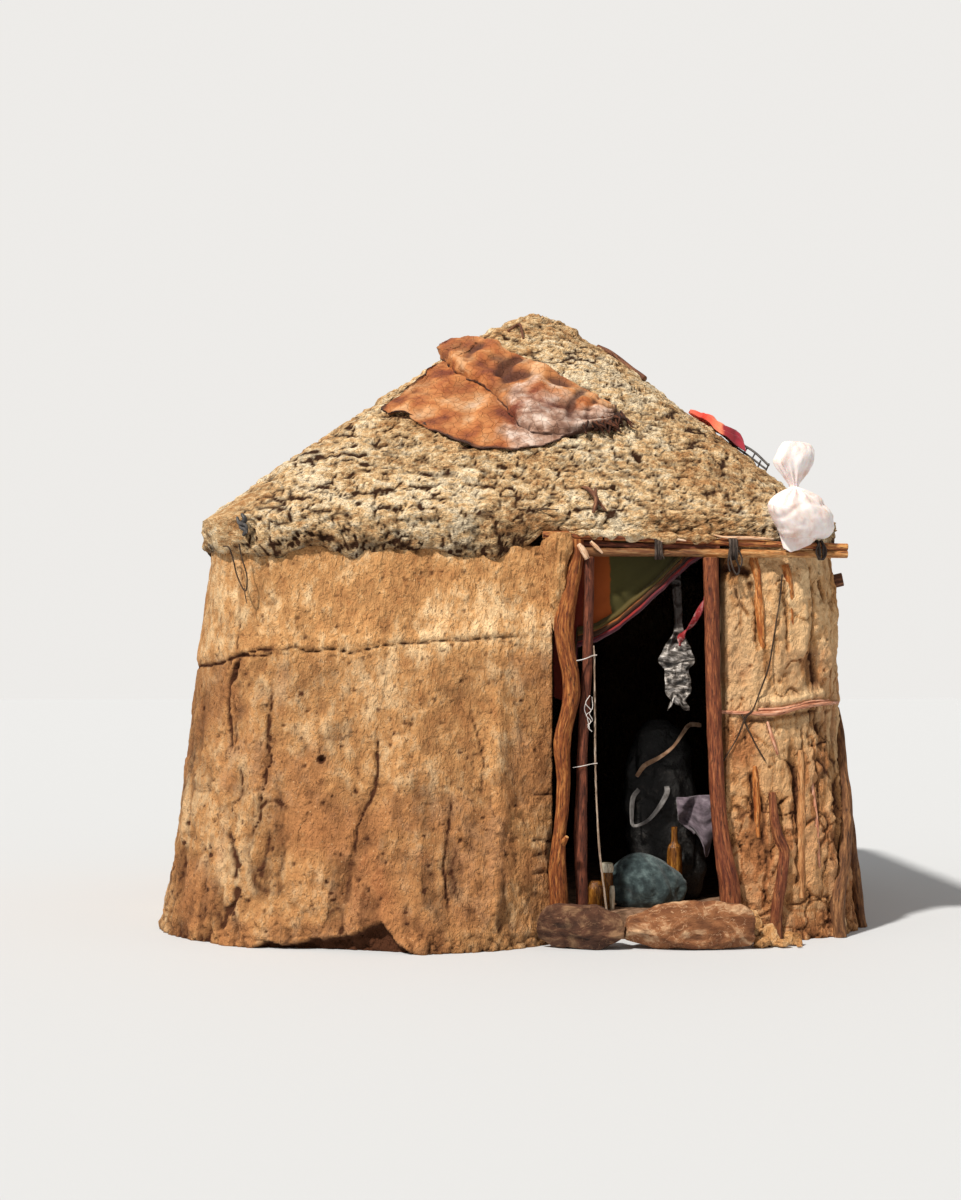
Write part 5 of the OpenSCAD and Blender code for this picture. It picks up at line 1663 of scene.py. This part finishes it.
def sack_relief(a, z, p):
    """Pleats cos(13 a) that fade 6 cm from the tie, long creases, and two dents."""
    near = np.exp(-(((z - 0.173) / 0.05) ** 2))
    lean = a + 0.5 * noise(p * (1, 1, 0.3), 0.05, 220)
    r = 1 + 0.2 * near * np.cos(13 * lean) + 0.1 * smooth(0.19, 0.25, z) * np.cos(6 * lean + 1)
    body = smooth(0.165, 0.12, z)
    r = r + body * (0.035 * noise(p * (1, 1, 0.35), 0.028, 221) + 0.02 * noise(p, 0.013, 222))
    fold = np.abs(z - 0.075 - 0.03 * np.cos(a + 1.2) - 0.012 * np.sin(3 * a))
    r = r - body * 0.05 * np.exp(-((fold / 0.01) ** 2)) * smooth(0.2, 0.9, -np.sin(a + 0.3))
    dent = (p[..., 0] - 0.08) ** 2 / 0.03**2 + (z - 0.115) ** 2 / 0.016**2
    r = r - body * 0.16 * np.exp(-dent) * (np.sin(a) < 0.2)
    return r + smooth(0.19, 0.25, z) * 0.1 * noise(p * (1, 1, 0.4), 0.02, 223)


sack_plastic = white_polythene()
loft_piece(
    "sack", "tied_sack", sack_centre, math.radians(22.5), sack_levels, 120, 120,
    sack_relief, sack_plastic, 0.006,
)

# %% [markdown]
# In the doorway's shade lie a green cloth bundle and, behind it, a dark bag with a leather strap and
# a webbing loop. They are lofted in the same way, each with its own folds.


# %% Bundle and bag
def on_floor(key):
    """The place under the middle of a solid's box."""
    low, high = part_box(key)
    return (low[0] + high[0]) / 2 + 0.002, (low[1] + high[1]) / 2, low[2]


def bundle_relief(a, z, p):
    """Cloth folds that sweep round from the knot: waves in a + height, with finer creases."""
    sweep = 0.05 * np.cos(7 * a + 30 * z + 2.5 * noise(p, 0.1, 230)) + 0.02 * np.cos(15 * a - 22 * z)
    r = 1 + sweep * smooth(0.0, 0.05, z) + 0.07 * noise(p, 0.05, 231)
    return r + 0.02 * noise(p, 0.014, 232) - 0.05


def bag_relief(a, z, p):
    """Slack bulges |n| that meet in deep creases, where n is noise in 12 cm lumps, and level folds
    low down where the bag settles."""
    lumps = noise(p * (1, 1, 0.6) + 0.03 * noise(p, 0.08, 243)[..., None], 0.12, 240)
    level = 0.03 * np.sin(60 * z + 3 * noise(p, 0.15, 242)) * smooth(0.35, 0.1, z)
    bulge = np.minimum(np.abs(lumps), 0.5)
    return 0.84 + 0.34 * bulge + 0.02 * noise(p * (1, 1, 0.3), 0.02, 241) + level


def vinyl_with_painted_sheen():
    """Nearly black, with pale patches of painted sheen; the same noise gives its bumps."""
    m = Paint("black_vinyl_painted_sheen", Roughness=0.45, IOR=1.45)
    sheen_and_bumps = m.noise(m.stored("weave", "Vector"), 0.03, 7, 0.7)
    # The pale tone is painted highlight.
    base = m.ramp(sheen_and_bumps, (0.4, 0.58, 0.72), ("#060504", "#12100F", "#4A443F"))
    return m.done(base, sheen_and_bumps, 0.012, 1.0)


bundle_levels = [
    (0.0, 0.11, 0.062, 0), (0.03, 0.138, 0.08, 0), (0.074, 0.14, 0.085, 0),
    (0.12, 0.118, 0.072, -0.008),
    (0.155, 0.08, 0.052, -0.02), (0.177, 0.04, 0.028, -0.028), (0.185, 0.015, 0.012, -0.03),
]
loft_piece(
    "bundle_skin", "bundle", on_floor("bundle"), 0.0, bundle_levels, 70, 110,
    bundle_relief, cotton("faded_green_cotton", "#222A2C #3C4A4C #6C7E7E", 0.0025),
)
bag_levels = [
    (0.0, 0.118, 0.064, 0), (0.06, 0.148, 0.086, 0), (0.22, 0.153, 0.088, 0),
    (0.4, 0.138, 0.082, -0.006),
    (0.54, 0.115, 0.068, -0.016), (0.61, 0.082, 0.05, -0.02), (0.645, 0.034, 0.024, -0.024),
]
loft_piece(
    "standing_bag_skin", "standing_bag", on_floor("standing_bag"), 0.0, bag_levels, 90,
    100, bag_relief, vinyl_with_painted_sheen(),
)

# %% [markdown]
# Small things say that the hut is lived in, and each is a few bent lines: lashings of bark strip on
# the lintel, thread wound round a post, a peeled withy tied beside it, dry stems and a long lath
# caught in the plaster, and what is stuck in the roof. They are limbs like the poles, only thinner.


# %% Twigs and lashings
def plane(y, *places):
    """Stops on an upright plane: (x, z, radius) with the same y."""
    return [(x, y, z, r) for x, z, r in places]


def even(r, *places):
    """Stops with the same radius."""
    return [(*place, r) for place in places]


def on_crust(*places):
    """Stops on the roof's crust, from (w, q, lift, radius)."""
    return [(*on_roof(w, q, lift), r) for w, q, lift, r in places]


def off_wall(grow, *places):
    """Stops a fixed distance off the plan, from (w, height, radius)."""
    return [(*outline(np.array(grow), np.array(w)), z, r) for w, z, r in places]


def lashed(x, wide, turns, r, seed):
    """Turns of strip round both lintel poles at x, a little apart and uneven."""
    low_z, low_r, up_z, up_r = lintel(x)
    middle, tall = (low_z + up_z) / 2, (up_z - low_z) / 2 + up_r + r
    angle = np.linspace(0, 2 * np.pi * turns, 10 * turns + 1)
    bump = 1 + 0.08 * np.sin(5 * angle + seed)
    y = LINTEL_Y + 1.1 * (low_r + r) * bump * np.cos(angle) - 0.002
    x = x + wide * (np.arange(len(angle)) / len(angle) - 0.5)
    return np.stack([x, y, middle + tall * bump * np.sin(angle), r + 0 * angle], -1).tolist()


withy = plane(
    -1.13, (0.212, 0.997, 0.002), (0.214, 0.937, 0.003), (0.216, 0.758, 0.0034), (0.217, 0.603, 0.0034),
    (0.222, 0.46, 0.0034), (0.231, 0.309, 0.0036), (0.244, 0.201, 0.0036), (0.257, 0.09, 0.0036),
)
limb_piece(
    "peeled_withy", [withy], 12, 0.008, 0.8, 4.4,
    bark("peeled_withy_wood", "#4A3628 #7E6654 #A8927E #D0C0B0", "#C0AE9C", 0.7),
)
ties = [
    even(0.0017, (0.148, -1.17, 0.948), (0.168, -1.157, 0.951), (0.19, -1.15, 0.958),
         (0.208, -1.138, 0.965), (0.22, -1.136, 0.967)),
    even(0.0015, (0.138, -1.166, 0.59), (0.16, -1.152, 0.592), (0.19, -1.15, 0.598),
         (0.21, -1.137, 0.601), (0.222, -1.136, 0.602)),
    even(0.0014, (0.196, -1.149, 0.83), (0.182, -1.151, 0.805), (0.2, -1.15, 0.78),
         (0.184, -1.152, 0.765), (0.199, -1.149, 0.745), (0.19, -1.151, 0.725), (0.203, -1.147, 0.71)),
    even(0.0012, (0.204, -1.146, 0.825), (0.206, -1.146, 0.79), (0.195, -1.15, 0.77),
         (0.205, -1.146, 0.748), (0.188, -1.151, 0.732)),
    even(0.0012, (0.183, -1.151, 0.81), (0.178, -1.15, 0.785), (0.187, -1.152, 0.757),
         (0.195, -1.15, 0.722)),
]
limb_piece(
    "white_thread", ties, 6, 0.004, 0.3, 5.2,
    bark("undyed_cotton_thread", "#8C7C72 #C9BDB4 #E2DAD4 #F3EFEC", "#E2DAD4", 0.9),
)
lashings = [
    lashed(0.43, 0.026, 3, 0.0055, 1.0), lashed(0.685, 0.03, 3, 0.006, 2.0),
    lashed(0.985, 0.03, 2, 0.005, 3.0),
    plane(-1.146, (0.676, 1.335, 0.004), (0.672, 1.3, 0.004), (0.681, 1.262, 0.0035),
          (0.695, 1.238, 0.0035), (0.703, 1.256, 0.0035), (0.694, 1.29, 0.0035), (0.687, 1.325, 0.004)),
    plane(-1.15, (0.69, 1.33, 0.0035), (0.692, 1.29, 0.003), (0.706, 1.265, 0.003),
          (0.712, 1.29, 0.003), (0.702, 1.32, 0.003)),
    plane(-1.148, (0.67, 1.325, 0.003), (0.665, 1.28, 0.003), (0.671, 1.25, 0.003)),
    plane(-1.146, (0.975, 1.345, 0.0035), (0.966, 1.318, 0.0035), (0.977, 1.293, 0.0035),
          (0.994, 1.296, 0.0035), (1.0, 1.32, 0.0035), (0.99, 1.345, 0.0035)),
    plane(-1.146, (0.425, 1.345, 0.003), (0.437, 1.32, 0.003), (0.448, 1.292, 0.002)),
]
limb_piece(
    "bark_lashings", lashings, 10, 0.004, 0.8, 6.1,
    bark("black_bark_strip", "#0A0706 #1C1512 #352A24 #64564C", "#352A24", 0.65),
)
splinters = [
    plane(-1.158, (0.158, 1.338, 0.008), (0.172, 1.318, 0.011), (0.186, 1.29, 0.009)),
    plane(-1.15, (0.2, 1.347, 0.005), (0.218, 1.33, 0.006), (0.238, 1.31, 0.003)),
    plane(-1.15, (0.44, 1.35, 0.003), (0.475, 1.358, 0.004), (0.52, 1.352, 0.0025)),
    plane(-1.138, (0.62, 1.372, 0.002), (0.66, 1.365, 0.004), (0.75, 1.363, 0.005),
          (0.82, 1.36, 0.002)),
    off_wall(0.004, (1.985, 1.265, 0.007), (2.0, 1.235, 0.009), (2.0, 1.2, 0.004)),
]
limb_piece(
    "pale_splinters", splinters, 12, 0.006, 1.2, 7.3,
    bark("freshly_split_wood", "#8E5A3C #C9946C #E3BC98 #F3DCC4", "#F0D6BC", 0.7),
)
dark_sticks = [
    [off_wall(grow, (1.84, 1.23 + 0.2 * grow, 0.024))[0] for grow in (0.0, 0.02, 0.04)],
    on_crust((0.63, 0.9, 0.0, 0.005), (0.64, 0.93, 0.022, 0.009), (0.65, 0.97, 0.02, 0.009),
             (0.64, 1.0, 0.012, 0.005)),
    on_crust((0.66, 0.91, 0.0, 0.004), (0.655, 0.95, 0.014, 0.006), (0.67, 0.99, 0.01, 0.004)),
    on_crust((0.1, 0.19, 0.004, 0.004), (0.2, 0.17, 0.018, 0.0055), (0.3, 0.19, 0.022, 0.005),
             (0.36, 0.23, 0.004, 0.004)),
    on_crust((2.08, 0.24, 0.006, 0.01), (2.03, 0.29, 0.008, 0.011), (1.98, 0.37, 0.008, 0.011),
             (1.92, 0.42, 0.008, 0.012)),
]
limb_piece(
    "sticks_in_the_mud", dark_sticks, 16, 0.006, 1.2, 8.5,
    bark("weathered_brown_stick", "#1C0F09 #40261A #6A4230 #94684A", "#7A5236", 0.8),
)
crate = [
    on_crust((1.86, 0.715, 0.03, 0.0045), (1.84, 0.76, 0.03, 0.0045), (1.82, 0.81, 0.026, 0.0045)),
    on_crust((1.88, 0.715, 0.012, 0.004), (1.86, 0.76, 0.012, 0.004), (1.84, 0.81, 0.01, 0.004)),
    *[
        on_crust((1.86 - 0.4 * (q - 0.715), q, 0.031, 0.003),
                 (1.88 - 0.4 * (q - 0.715), q + 0.004, 0.0, 0.003))
        for q in (0.72, 0.742, 0.765, 0.788, 0.808)
    ],
    off_wall(0.062, (-0.36, 1.44, 0.005), (-0.34, 1.42, 0.009), (-0.37, 1.4, 0.007),
             (-0.335, 1.385, 0.009), (-0.35, 1.368, 0.005)),
    off_wall(0.066, (-0.385, 1.43, 0.004), (-0.37, 1.41, 0.007), (-0.33, 1.4, 0.006),
             (-0.325, 1.375, 0.004)),
]
limb_piece(
    "black_plastic_bits", crate, 10, 0.006, 0.6, 9.2,
    bark("scuffed_black_plastic", "#0E0D0D #242222 #3F3C3B #6E6A68", "#3F3C3B", 0.45),
)
stems = [
    on_wall([(1.2, 1.24, 0.0028), (1.18, 1.15, 0.0028), (1.16, 1.09, 0.0028), (1.14, 1.02, 0.0028),
             (1.11, 0.93, 0.0028), (1.06, 0.85, 0.0028), (1.02, 0.79, 0.0028), (0.99, 0.76, 0.004),
             (0.97, 0.69, 0.0028), (0.95, 0.64, 0.0026), (0.92, 0.57, 0.0024)], -4.5),
    on_wall([(0.98, 0.765, 0.0035), (1.0, 0.7, 0.0028), (1.04, 0.65, 0.0026),
             (1.08, 0.61, 0.0024)], -4.0),
    off_wall(0.06, *even(0.0025, (-0.49, 1.335), (-0.45, 1.33), (-0.42, 1.29), (-0.39, 1.23),
                         (-0.34, 1.18), (-0.33, 1.23), (-0.36, 1.29), (-0.38, 1.34))),
    off_wall(0.06, (-0.345, 1.19, 0.002), (-0.34, 1.165, 0.002), (-0.33, 1.14, 0.0015)),
    on_crust((0.5, 0.975, 0.0, 0.002), (0.52, 0.99, 0.02, 0.002), (0.54, 1.0, 0.03, 0.0015)),
    on_crust((0.52, 0.98, 0.0, 0.002), (0.53, 0.995, 0.02, 0.002), (0.56, 1.0, 0.025, 0.0015)),
]
limb_piece(
    "dry_stems", stems, 8, 0.006, 0.6, 10.1,
    bark("dry_vine_stem", "#110B08 #251912 #3F2E22 #6A5440", "#3F2E22", 0.9),
)
laths = [
    on_wall([(0.93, 0.775, 0.006), (1.0, 0.77, 0.007), (1.15, 0.77, 0.008), (1.33, 0.79, 0.007),
             (1.57, 0.8, 0.0065), (1.9, 0.8, 0.004)], -1.0),
    on_wall([(1.05, 0.782, 0.005), (1.2, 0.785, 0.006), (1.4, 0.806, 0.005), (1.6, 0.81, 0.003)], -1.0),
    on_wall([(1.4, 0.53, 0.006), (1.41, 0.42, 0.008), (1.405, 0.3, 0.008), (1.41, 0.2, 0.005)], 0.2),
    on_wall([(1.1, 0.74, 0.004), (1.13, 0.68, 0.006), (1.16, 0.63, 0.004)], -0.4),
]
limb_piece(
    "plaster_laths", laths, 12, 0.006, 1.4, 11.4,
    bark("pinkish_dry_lath", "#5E3020 #A3644A #C98A6A #E3B498", "#D9A888", 0.75),
)

# %% [markdown]
# The folded hide still has hair on its right end. It shows as a dark tassel of short curved locks
# that fall down the roof from under the hide's edge.

# %% Hair
LOCKS = 54
locks = []
for n in range(LOCKS):
    a, b, c, d = (hashed(n, m, 3, 250) for m in range(4))
    w0, q0 = 0.66 + 0.19 * a, 0.665 - 0.03 * a + 0.03 * b
    long, lean = 0.3 + 0.5 * c, 0.1 * (d - 0.45)
    locks.append(on_crust(
        (w0, q0 - 0.02, 0.016, 0.004), (w0 + 0.3 * lean, q0 + 0.012 * long, 0.02 + 0.016 * b, 0.0045),
        (w0 + 0.7 * lean, q0 + 0.03 * long, 0.01 + 0.022 * d, 0.004),
        (w0 + lean, q0 + 0.045 * long, 0.004 + 0.024 * c, 0.0015),
    ))
limb_piece(
    "hide_hair", locks, 7, 0.006, 0.8, 12.6,
    bark("dark_goat_hair", "#0A0504 #1C0F0A #3A1F13 #7A4428", "#1C0F0A", 0.8),
)

# %% [markdown]
# The sack's loose hem hangs over the front of the lintel poles, and a grey cloth is stuffed under
# the dark bag indoors. A leather strap lies over that bag, and a webbing loop hangs from its front.

# %% Hem, strap and loop
HEM_TOP = 1.395
s, t = parameters(40, 26)
hem_low = np.interp(s, (0, 0.07, 0.25, 0.45, 0.75, 1), (1.366, 1.328, 1.314, 1.322, 1.34, 1.37))
p = np.stack([0.15 * s, 0 * s, 0.07 * t], -1)
surface = np.stack([
    0.835 + 0.15 * s - 0.012 * t * (s - 0.5),
    -1.13 - 0.022 * smooth(0, 0.55, t) + 0.006 * noise(p * (1, 1, 0.4), 0.025, 260),
    HEM_TOP + (hem_low - HEM_TOP) * t,
], -1)
cloth_piece(
    "sack_hem", "woven_sack", surface, 0.003, {"weave": p}, sack_plastic,
    flat=(0.15, 0.08), held="draped", rests_on=["upper_lintel", "sack"],
)
s, t = parameters(34, 46)
p = np.stack([0.12 * s, 0 * s, 0.21 * t], -1)
pull = 0.03 * np.sin(np.pi * t) * (s - 0.5) - 0.05 * smooth(0.6, 1, t) * (s - 0.6)
fold = 0.016 * np.sin(2.6 * np.pi * s + 3 * t + 1.6 * noise(p, 0.07, 262))
surface = np.stack([
    0.545 + 0.115 * s + 0.03 * t + pull,
    -0.822 - fold + 0.004 * noise(p, 0.02, 261),
    0.462 - (0.13 + 0.09 * np.exp(-(((s - 0.7) / 0.3) ** 2))) * t + 0.01 * s,
], -1)
cloth_piece(
    "grey_cloth", "bag_cloth", surface, 0.004, {"weave": p},
    cotton("grey_mauve_cotton", "#3A3238 #6B5F68 #978B94", 0.0025),
    flat=(0.15, 0.2), held="draped", rests_on=["standing_bag_skin"],
)
ribbon_piece(
    "bag_strap", "hide",
    [(0.405, -0.78, 0.535), (0.43, -0.806, 0.575), (0.48, -0.812, 0.603), (0.53, -0.81, 0.64),
     (0.57, -0.79, 0.69), (0.6, -0.76, 0.718), (0.645, -0.735, 0.716)],
    0.007, (0.2, 0.5, 0.2), cotton("tan_leather_strap", "#6E4A34 #A98468 #CDAE94"),
    flat=(0.014, 0.32), held="laid", rests_on=["standing_bag_skin"],
)
ribbon_piece(
    "webbing_loop", "bag_cloth",
    [(0.41, -0.8, 0.49), (0.388, -0.812, 0.46), (0.383, -0.816, 0.4), (0.39, -0.816, 0.362),
     (0.435, -0.82, 0.378), (0.475, -0.82, 0.42), (0.508, -0.815, 0.475), (0.51, -0.8, 0.5)],
    0.008, (0.3, 0.9, 0.2), cotton("grey_webbing", "#565250 #8E8A88 #B8B4B2"),
    flat=(0.016, 0.3), held="hung", rests_on=["standing_bag_skin"],
)


# %% [markdown]
# A few household jars stand behind the left stone, and a stopped bottle beside the grey cloth.
# Limbs serve for them too: their radius changes along an upright line.


# %% Jars
def upright(x, y, *places):
    """Stops on an upright line, from (height, radius)."""
    return [(x, y, z, r) for z, r in places]


jars = [
    upright(0.236, -0.965, (0.091, 0.03), (0.15, 0.031), (0.17, 0.026), (0.185, 0.016)),
    upright(0.53, -0.85, (0.091, 0.026), (0.27, 0.026), (0.31, 0.012), (0.36, 0.011)),
    upright(0.278, -0.955, (0.091, 0.019), (0.15, 0.021), (0.214, 0.02)),
]
limb_piece(
    "dark_jars", jars, 28, 0.005, 0.05, 13.3,
    bark("amber_jar", "#2A1608 #4E2C10 #7A4A1A #B07A34", "#4E2C10", 0.25),
)
pale_jars = [
    upright(0.278, -0.955, (0.215, 0.022), (0.228, 0.023), (0.245, 0.021)),
    upright(0.291, -0.992, (0.091, 0.008), (0.14, 0.01), (0.17, 0.008)),
]
limb_piece(
    "pale_jars", pale_jars, 28, 0.005, 0.05, 14.3,
    bark("cream_enamel", "#8A7658 #CDBB98 #E6DABF #F6F0DE", "#E6DABF", 0.3),
)

# %% [markdown]
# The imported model's own meshes are kept where they are nearly out of sight: the beaten floor and the
# frame of poles under the mud. They have no grain attribute, so their finish takes its streaks from
# the object's own coordinates.


# %% Frame and floor finishes
def patchy(name, tones, size, stretch=(1, 1, 1)):
    """Matt patches of that size between three tones, with the same noise as bump."""
    m = Paint(name, Roughness=0.9, IOR=1.45)
    patch = m.noise(m.scaled(m.place(), stretch), size, 6, 0.65)
    return m.done(m.ramp(patch, (0.38, 0.5, 0.62), tones.split()), patch, 0.006, 0.8)


wear(nodes["earth_floor"], patchy("beaten_earth", "#5E4330 #83634A #A5836A", 0.03))
darkened = patchy("smoked_pole_bark", "#24160F #432C1E #684730", 0.02, (1, 1, 0.4))
sides = ("front", "right", "back", "left")
for key in (
    *(side + "_plate_pole" for side in sides), *(side + "_rafters" for side in sides),
    "lath_hoops", "crown_hoop", "crown_beam", "centre_post",
):
    wear(nodes[key], darkened)

# %% [markdown]
# The hut stands on a pale studio floor. A sun lamp shines from high on the left, as the sun did on
# the real hut, and its angle is wide, so the edges of shadows are soft. A pale sky fills the shade.
# The camera sees that sky brighter than it lights the hut, so that it doesn't wash out the mud.

# %% Floor and light
floor = new_piece("floor", [(-30, -30, 0), (30, -30, 0), (30, 40, 0), (-30, 40, 0)], [(0, 1, 2, 3)])
wear(floor, Paint("pale_studio_floor", Roughness=0.9, Base_Color=colour("#CBCFD4")).material)

world = bpy.data.worlds.new("sky")
scene.world = world
world.use_nodes = True
tree = world.node_tree
tree.nodes.clear()
rays = node(tree, "LightPath").outputs
seen = node(tree, "Math", {0: rays["Is Camera Ray"], 1: rays["Is Glossy Ray"]}, operation="MAXIMUM")
seen = node(tree, "Math", {0: seen.outputs[0], 1: rays["Is Transmission Ray"]}, operation="MAXIMUM")
fill = node(tree, "Background", {"Color": colour("#F4F1EC"), "Strength": 0.4})
backdrop = node(tree, "Background", {"Color": colour("#F3F1EE"), "Strength": 0.95})
both = node(tree, "MixShader", {0: seen.outputs[0], 1: fill.outputs[0], 2: backdrop.outputs[0]})
node(tree, "OutputWorld", {"Surface": both.outputs[0]})

# The sun points its own -Z along d: tilted from straight down, then turned about the vertical.
SUN_PLACE = (-0.45, -0.5, 0.78)
d = -np.array(SUN_PLACE)
sun = bpy.data.objects.new("sun", bpy.data.lights.new("sun", "SUN"))
sun.data.energy = 4.3
sun.data.angle = 0.07
sun.data.color = colour("#FFF8EE")[:3]
tilt = math.atan2(math.hypot(d[0], d[1]), -d[2])
sun.rotation_euler = (tilt, 0, math.atan2(d[1], d[0]) - math.pi / 2)
scene.collection.objects.link(sun)

# %% Settings
scene.view_settings.view_transform = "Standard"
